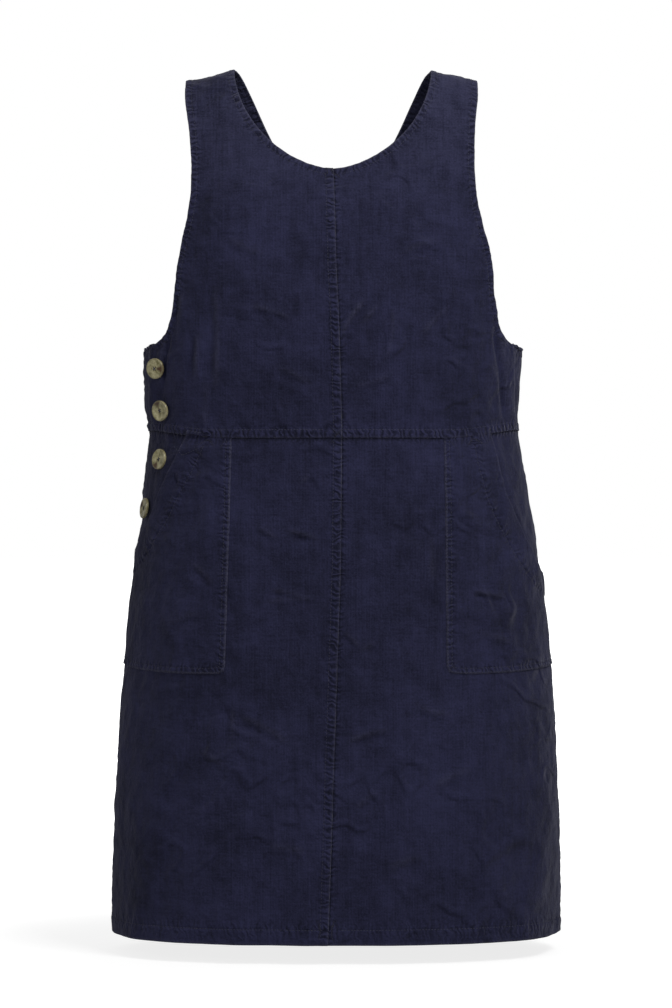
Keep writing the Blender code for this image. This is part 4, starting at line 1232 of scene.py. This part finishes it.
backBodicePanel = buildBack(
    "bodiceBack", lambda across: alongAt("back", backTop(across)), waistAlong["back"],
    [("turned", paths["backTop"]), ("proud", paths["waistBack"]), ("plain", paths["sideLeft"]),
     ("plain", paths["sideRight"])],
    {}, [0, 0.007, -0.009, -0.0001])
backSkirtPanel = buildBack(
    "skirtBack", lambda across: waistAlong["back"] - cloth["underlap"] + 0 * across, hemAlong["back"],
    [("under", paths["waistBack"]), ("hem", paths["hemBack"]), ("plain", paths["sideLeft"]),
     ("plain", paths["sideRight"])],
    {"waistBack": lambda girth, along: along < waistAlong["back"]}, [cloth["underlap"], -0.0165, -0.0001])
stitchAlong("stitchesBack", backBodicePanel, paths["backTop"], 0.0070, (0.0, waistAlong["back"]))
stitchAlong("stitchesBack", backBodicePanel, paths["waistBack"], 0.0090, (0.0, 0.0))
stitchAlong("stitchesBack", backSkirtPanel, paths["hemBack"], 0.0165, (0.0, 0.3))

for name, rows in stitchRows.items():
    sewStitches(name, rows)


# Buttons: turn is where the brown streak points, in degrees from straight up
buttonSizes = {"radius": 0.0112, "thick": 0.0032, "rim": 0.0021, "dish": 0.0006, "well": 0.0030,
               "wellDepth": 0.0003,
               "hole": 0.0008, "holePitch": 0.0030, "edge": 0.0008}
buttonShifts = {"button_1": 0.0013, "button_2": -0.0028, "button_3": 0.0045, "button_4": 0.0050}
buttonTurns = {"button_1": -95, "button_2": 20, "button_3": 150, "button_4": 60}


def selectFaces(piece, test):
    for polygon in piece.data.polygons:
        polygon.select = test(polygon)


def hornButton(node):
    sizes = buttonSizes
    bpy.ops.object.select_all(action="DESELECT")
    bpy.ops.mesh.primitive_cylinder_add(vertices=56, radius=sizes["radius"], depth=sizes["thick"])
    piece = bpy.context.active_object
    piece.name = piece.data.name = "hornButton" + node[-1]
    steps = [(sizes["rim"] * 0.5, 0.0), (sizes["rim"] * 0.5, 0.0), (0.0012, -sizes["dish"]),
             (sizes["radius"] - sizes["rim"] - 0.0012 - sizes["well"] - 0.0008, -0.0001),
             (0.0008, -sizes["wellDepth"])]
    selectFaces(piece, lambda polygon: polygon.normal.z > 0.9)
    bpy.ops.object.mode_set(mode="EDIT")
    bpy.ops.mesh.select_mode(type="FACE")
    for width, drop in steps:
        bpy.ops.mesh.inset(thickness=width, depth=0)
        bpy.ops.transform.translate(value=(0, 0, drop))
    bpy.ops.object.mode_set(mode="OBJECT")
    selectFaces(piece, lambda polygon: polygon.normal.z < -0.9)
    bpy.ops.object.mode_set(mode="EDIT")
    bpy.ops.mesh.inset(thickness=sizes["rim"], depth=0)
    bpy.ops.mesh.inset(thickness=sizes["rim"] * 1.5, depth=0)
    bpy.ops.object.mode_set(mode="OBJECT")
    soften = piece.modifiers.new("soften", "BEVEL")
    soften.width, soften.segments = sizes["edge"], 4
    soften.limit_method, soften.angle_limit = "ANGLE", math.radians(50)
    bpy.ops.object.modifier_apply(modifier="soften")
    for turn in range(4):
        angle = math.pi / 4 + turn * math.pi / 2
        reach = sizes["holePitch"] / math.sqrt(2)
        bpy.ops.object.select_all(action="DESELECT")
        bpy.ops.mesh.primitive_cylinder_add(vertices=16, radius=sizes["hole"], depth=sizes["thick"] * 3,
                                            location=(reach * math.cos(angle), reach * math.sin(angle), 0))
        pin = bpy.context.active_object
        drill = piece.modifiers.new("hole", "BOOLEAN")
        drill.operation, drill.object, drill.solver = "DIFFERENCE", pin, "EXACT"
        bpy.context.view_layer.objects.active = piece
        bpy.ops.object.modifier_apply(modifier="hole")
        bpy.data.objects.remove(pin)
    piece.select_set(True)
    bpy.ops.object.shade_smooth_by_angle(angle=math.radians(35))
    points = np.zeros(len(piece.data.vertices) * 3, np.float32)
    piece.data.vertices.foreach_get("co", points)
    face = piece.data.attributes.new("buttonFace", "FLOAT_VECTOR", "POINT")
    face.data.foreach_set("vector", points / sizes["radius"])
    piece.data.materials.append(hornResin)
    return piece


def buttonThread(node):
    # two crossed strands over the holes and the shank behind
    sizes = buttonSizes
    strands = []
    for turn in (45, -45):
        bpy.ops.object.select_all(action="DESELECT")
        bpy.ops.mesh.primitive_uv_sphere_add(segments=12, ring_count=8, radius=0.00055,
                                             location=(0, 0, sizes["thick"] / 2 - sizes["dish"]
                                                       - sizes["wellDepth"] + 0.0001))
        strand = bpy.context.active_object
        strand.scale = (sizes["holePitch"] / 0.00055 / 1.35, 1.0, 0.8)
        strand.rotation_euler = (0, 0, math.radians(turn))
        strands.append(strand)
    bpy.ops.object.select_all(action="DESELECT")
    bpy.ops.mesh.primitive_cylinder_add(vertices=14, radius=0.0015, depth=0.0034,
                                        location=(0, 0, -sizes["thick"] / 2 - 0.0008))
    strands.append(bpy.context.active_object)
    bpy.ops.object.select_all(action="DESELECT")
    for strand in strands:
        strand.select_set(True)
    bpy.context.view_layer.objects.active = strands[0]
    bpy.ops.object.join()
    piece = bpy.context.active_object
    piece.name = piece.data.name = "buttonThread" + node[-1]
    bpy.ops.object.transform_apply(location=True, rotation=True, scale=True)
    bpy.ops.object.shade_smooth()
    piece.data.materials.append(sewingThread)
    return piece


def placeButton(node):
    # the frame's own button gives the middle and the way it faces
    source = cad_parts[node].data
    points = np.zeros(len(source.vertices) * 3, np.float32)
    source.vertices.foreach_get("co", points)
    points = points.reshape(-1, 3).astype(float)
    low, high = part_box(node)
    middle = (low + high) / 2
    facing = Vector(np.linalg.eigh(np.cov((points - points.mean(0)).T))[1][:, 0])
    if facing.dot(Vector((middle.x, middle.y, 0))) < 0:
        facing = -facing
    turned = facing.to_track_quat("Z", "Y").to_matrix().to_4x4()
    middle.x += buttonShifts[node]  # with the cloth it is sewn to
    seat = Matrix.Translation(middle) @ turned @ Matrix.Rotation(math.radians(buttonTurns[node]), 4, "Z")
    for piece in (hornButton(node), buttonThread(node)):
        piece.data.transform(seat)
        piece.data.update()
        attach(piece, "root")
        if piece.name.startswith("horn"):
            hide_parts(node)


for node in sorted(buttonTurns):
    placeButton(node)
print("buttons made")

# Studio: pale floor, soft key from the upper right front, weak fill, white surround
studio = {"floorHeight": -0.962, "floorSize": 60.0, "surround": 0.27, "key": 50.0, "fill": 14.0, "rim": 8.0}
bpy.ops.object.select_all(action="DESELECT")
bpy.ops.mesh.primitive_plane_add(size=studio["floorSize"], location=(0, 0, studio["floorHeight"]))
floor = bpy.context.active_object
floor.name = "studioFloor"
floorMaterial = bpy.data.materials.new("paleFloor")
floorMaterial.use_nodes = True
floorTree = floorMaterial.node_tree
floorShader = floorTree.nodes["Principled BSDF"]
floorShader.inputs["Base Color"].default_value = (0.60, 0.60, 0.60, 1)
floorShader.inputs["Roughness"].default_value = 0.9
seen = addNode(floorTree, "ShaderNodeLightPath").outputs["Is Camera Ray"]
glow = addNode(floorTree, "ShaderNodeEmission", {"Color": (1, 1, 1, 1), "Strength": 1.62})
floorMix = addNode(floorTree, "ShaderNodeMixShader")
# the floor keeps its soft shadow under the hem and turns white away from it
spot = addNode(floorTree, "ShaderNodeNewGeometry").outputs["Position"]
away = addNode(floorTree, "ShaderNodeVectorMath", {0: scaled(floorTree, spot, (1, 1, 0))},
               operation="LENGTH").outputs["Value"]
paling = addNode(floorTree, "ShaderNodeMapRange",
                 {"Value": away, "From Min": 0.30, "From Max": 1.00, "To Min": 0.50, "To Max": 1.0},
                 interpolation_type="SMOOTHSTEP").outputs[0]
floorTree.links.new(mathNode(floorTree, "MULTIPLY", seen, paling), floorMix.inputs[0])
floorTree.links.new(floorShader.outputs[0], floorMix.inputs[1])
floorTree.links.new(glow.outputs[0], floorMix.inputs[2])
floorTree.links.new(floorMix.outputs[0], floorTree.nodes["Material Output"].inputs["Surface"])
floor.data.materials.append(floorMaterial)

world = bpy.data.worlds.new("studioWorld")
bpy.context.scene.world = world
world.use_nodes = True
worldTree = world.node_tree
surround = worldTree.nodes["Background"]
seen = addNode(worldTree, "ShaderNodeLightPath").outputs["Is Camera Ray"]
surround.inputs["Color"].default_value = (1, 1, 1, 1)
worldTree.links.new(mathNode(worldTree, "MULTIPLY_ADD", seen, 1.0 - studio["surround"], studio["surround"]),
                    surround.inputs["Strength"])


def areaLight(name, spot, aim, size, energy):
    bpy.ops.object.light_add(type="AREA", location=spot)
    light = bpy.context.active_object
    light.name = name
    light.data.size, light.data.energy = size, energy
    light.rotation_mode = "QUATERNION"
    light.rotation_quaternion = (Vector(spot) - Vector(aim)).to_track_quat("Z", "Y")
    return light


areaLight("keyLight", (1.05, -1.65, 1.40), (0, 0, -0.30), 1.0, studio["key"])
areaLight("fillLight", (-2.2, -2.6, 0.6), (0, 0, -0.5), 1.8, studio["fill"])
areaLight("backLight", (0.6, 2.8, 1.4), (0, 0, -0.4), 1.6, studio["rim"])

camera = {"spot": (0.0033, -4.2, -0.472), "viewHeight": 1.1088, "sensor": 36.0}
bpy.ops.object.camera_add(location=camera["spot"], rotation=(math.pi / 2, 0, 0))
view = bpy.context.active_object
view.data.sensor_width = camera["sensor"]
view.data.lens = camera["sensor"] * -camera["spot"][1] / camera["viewHeight"]
view.data.clip_end = 60
bpy.context.scene.camera = view
bpy.context.scene.view_settings.view_transform = "Standard"
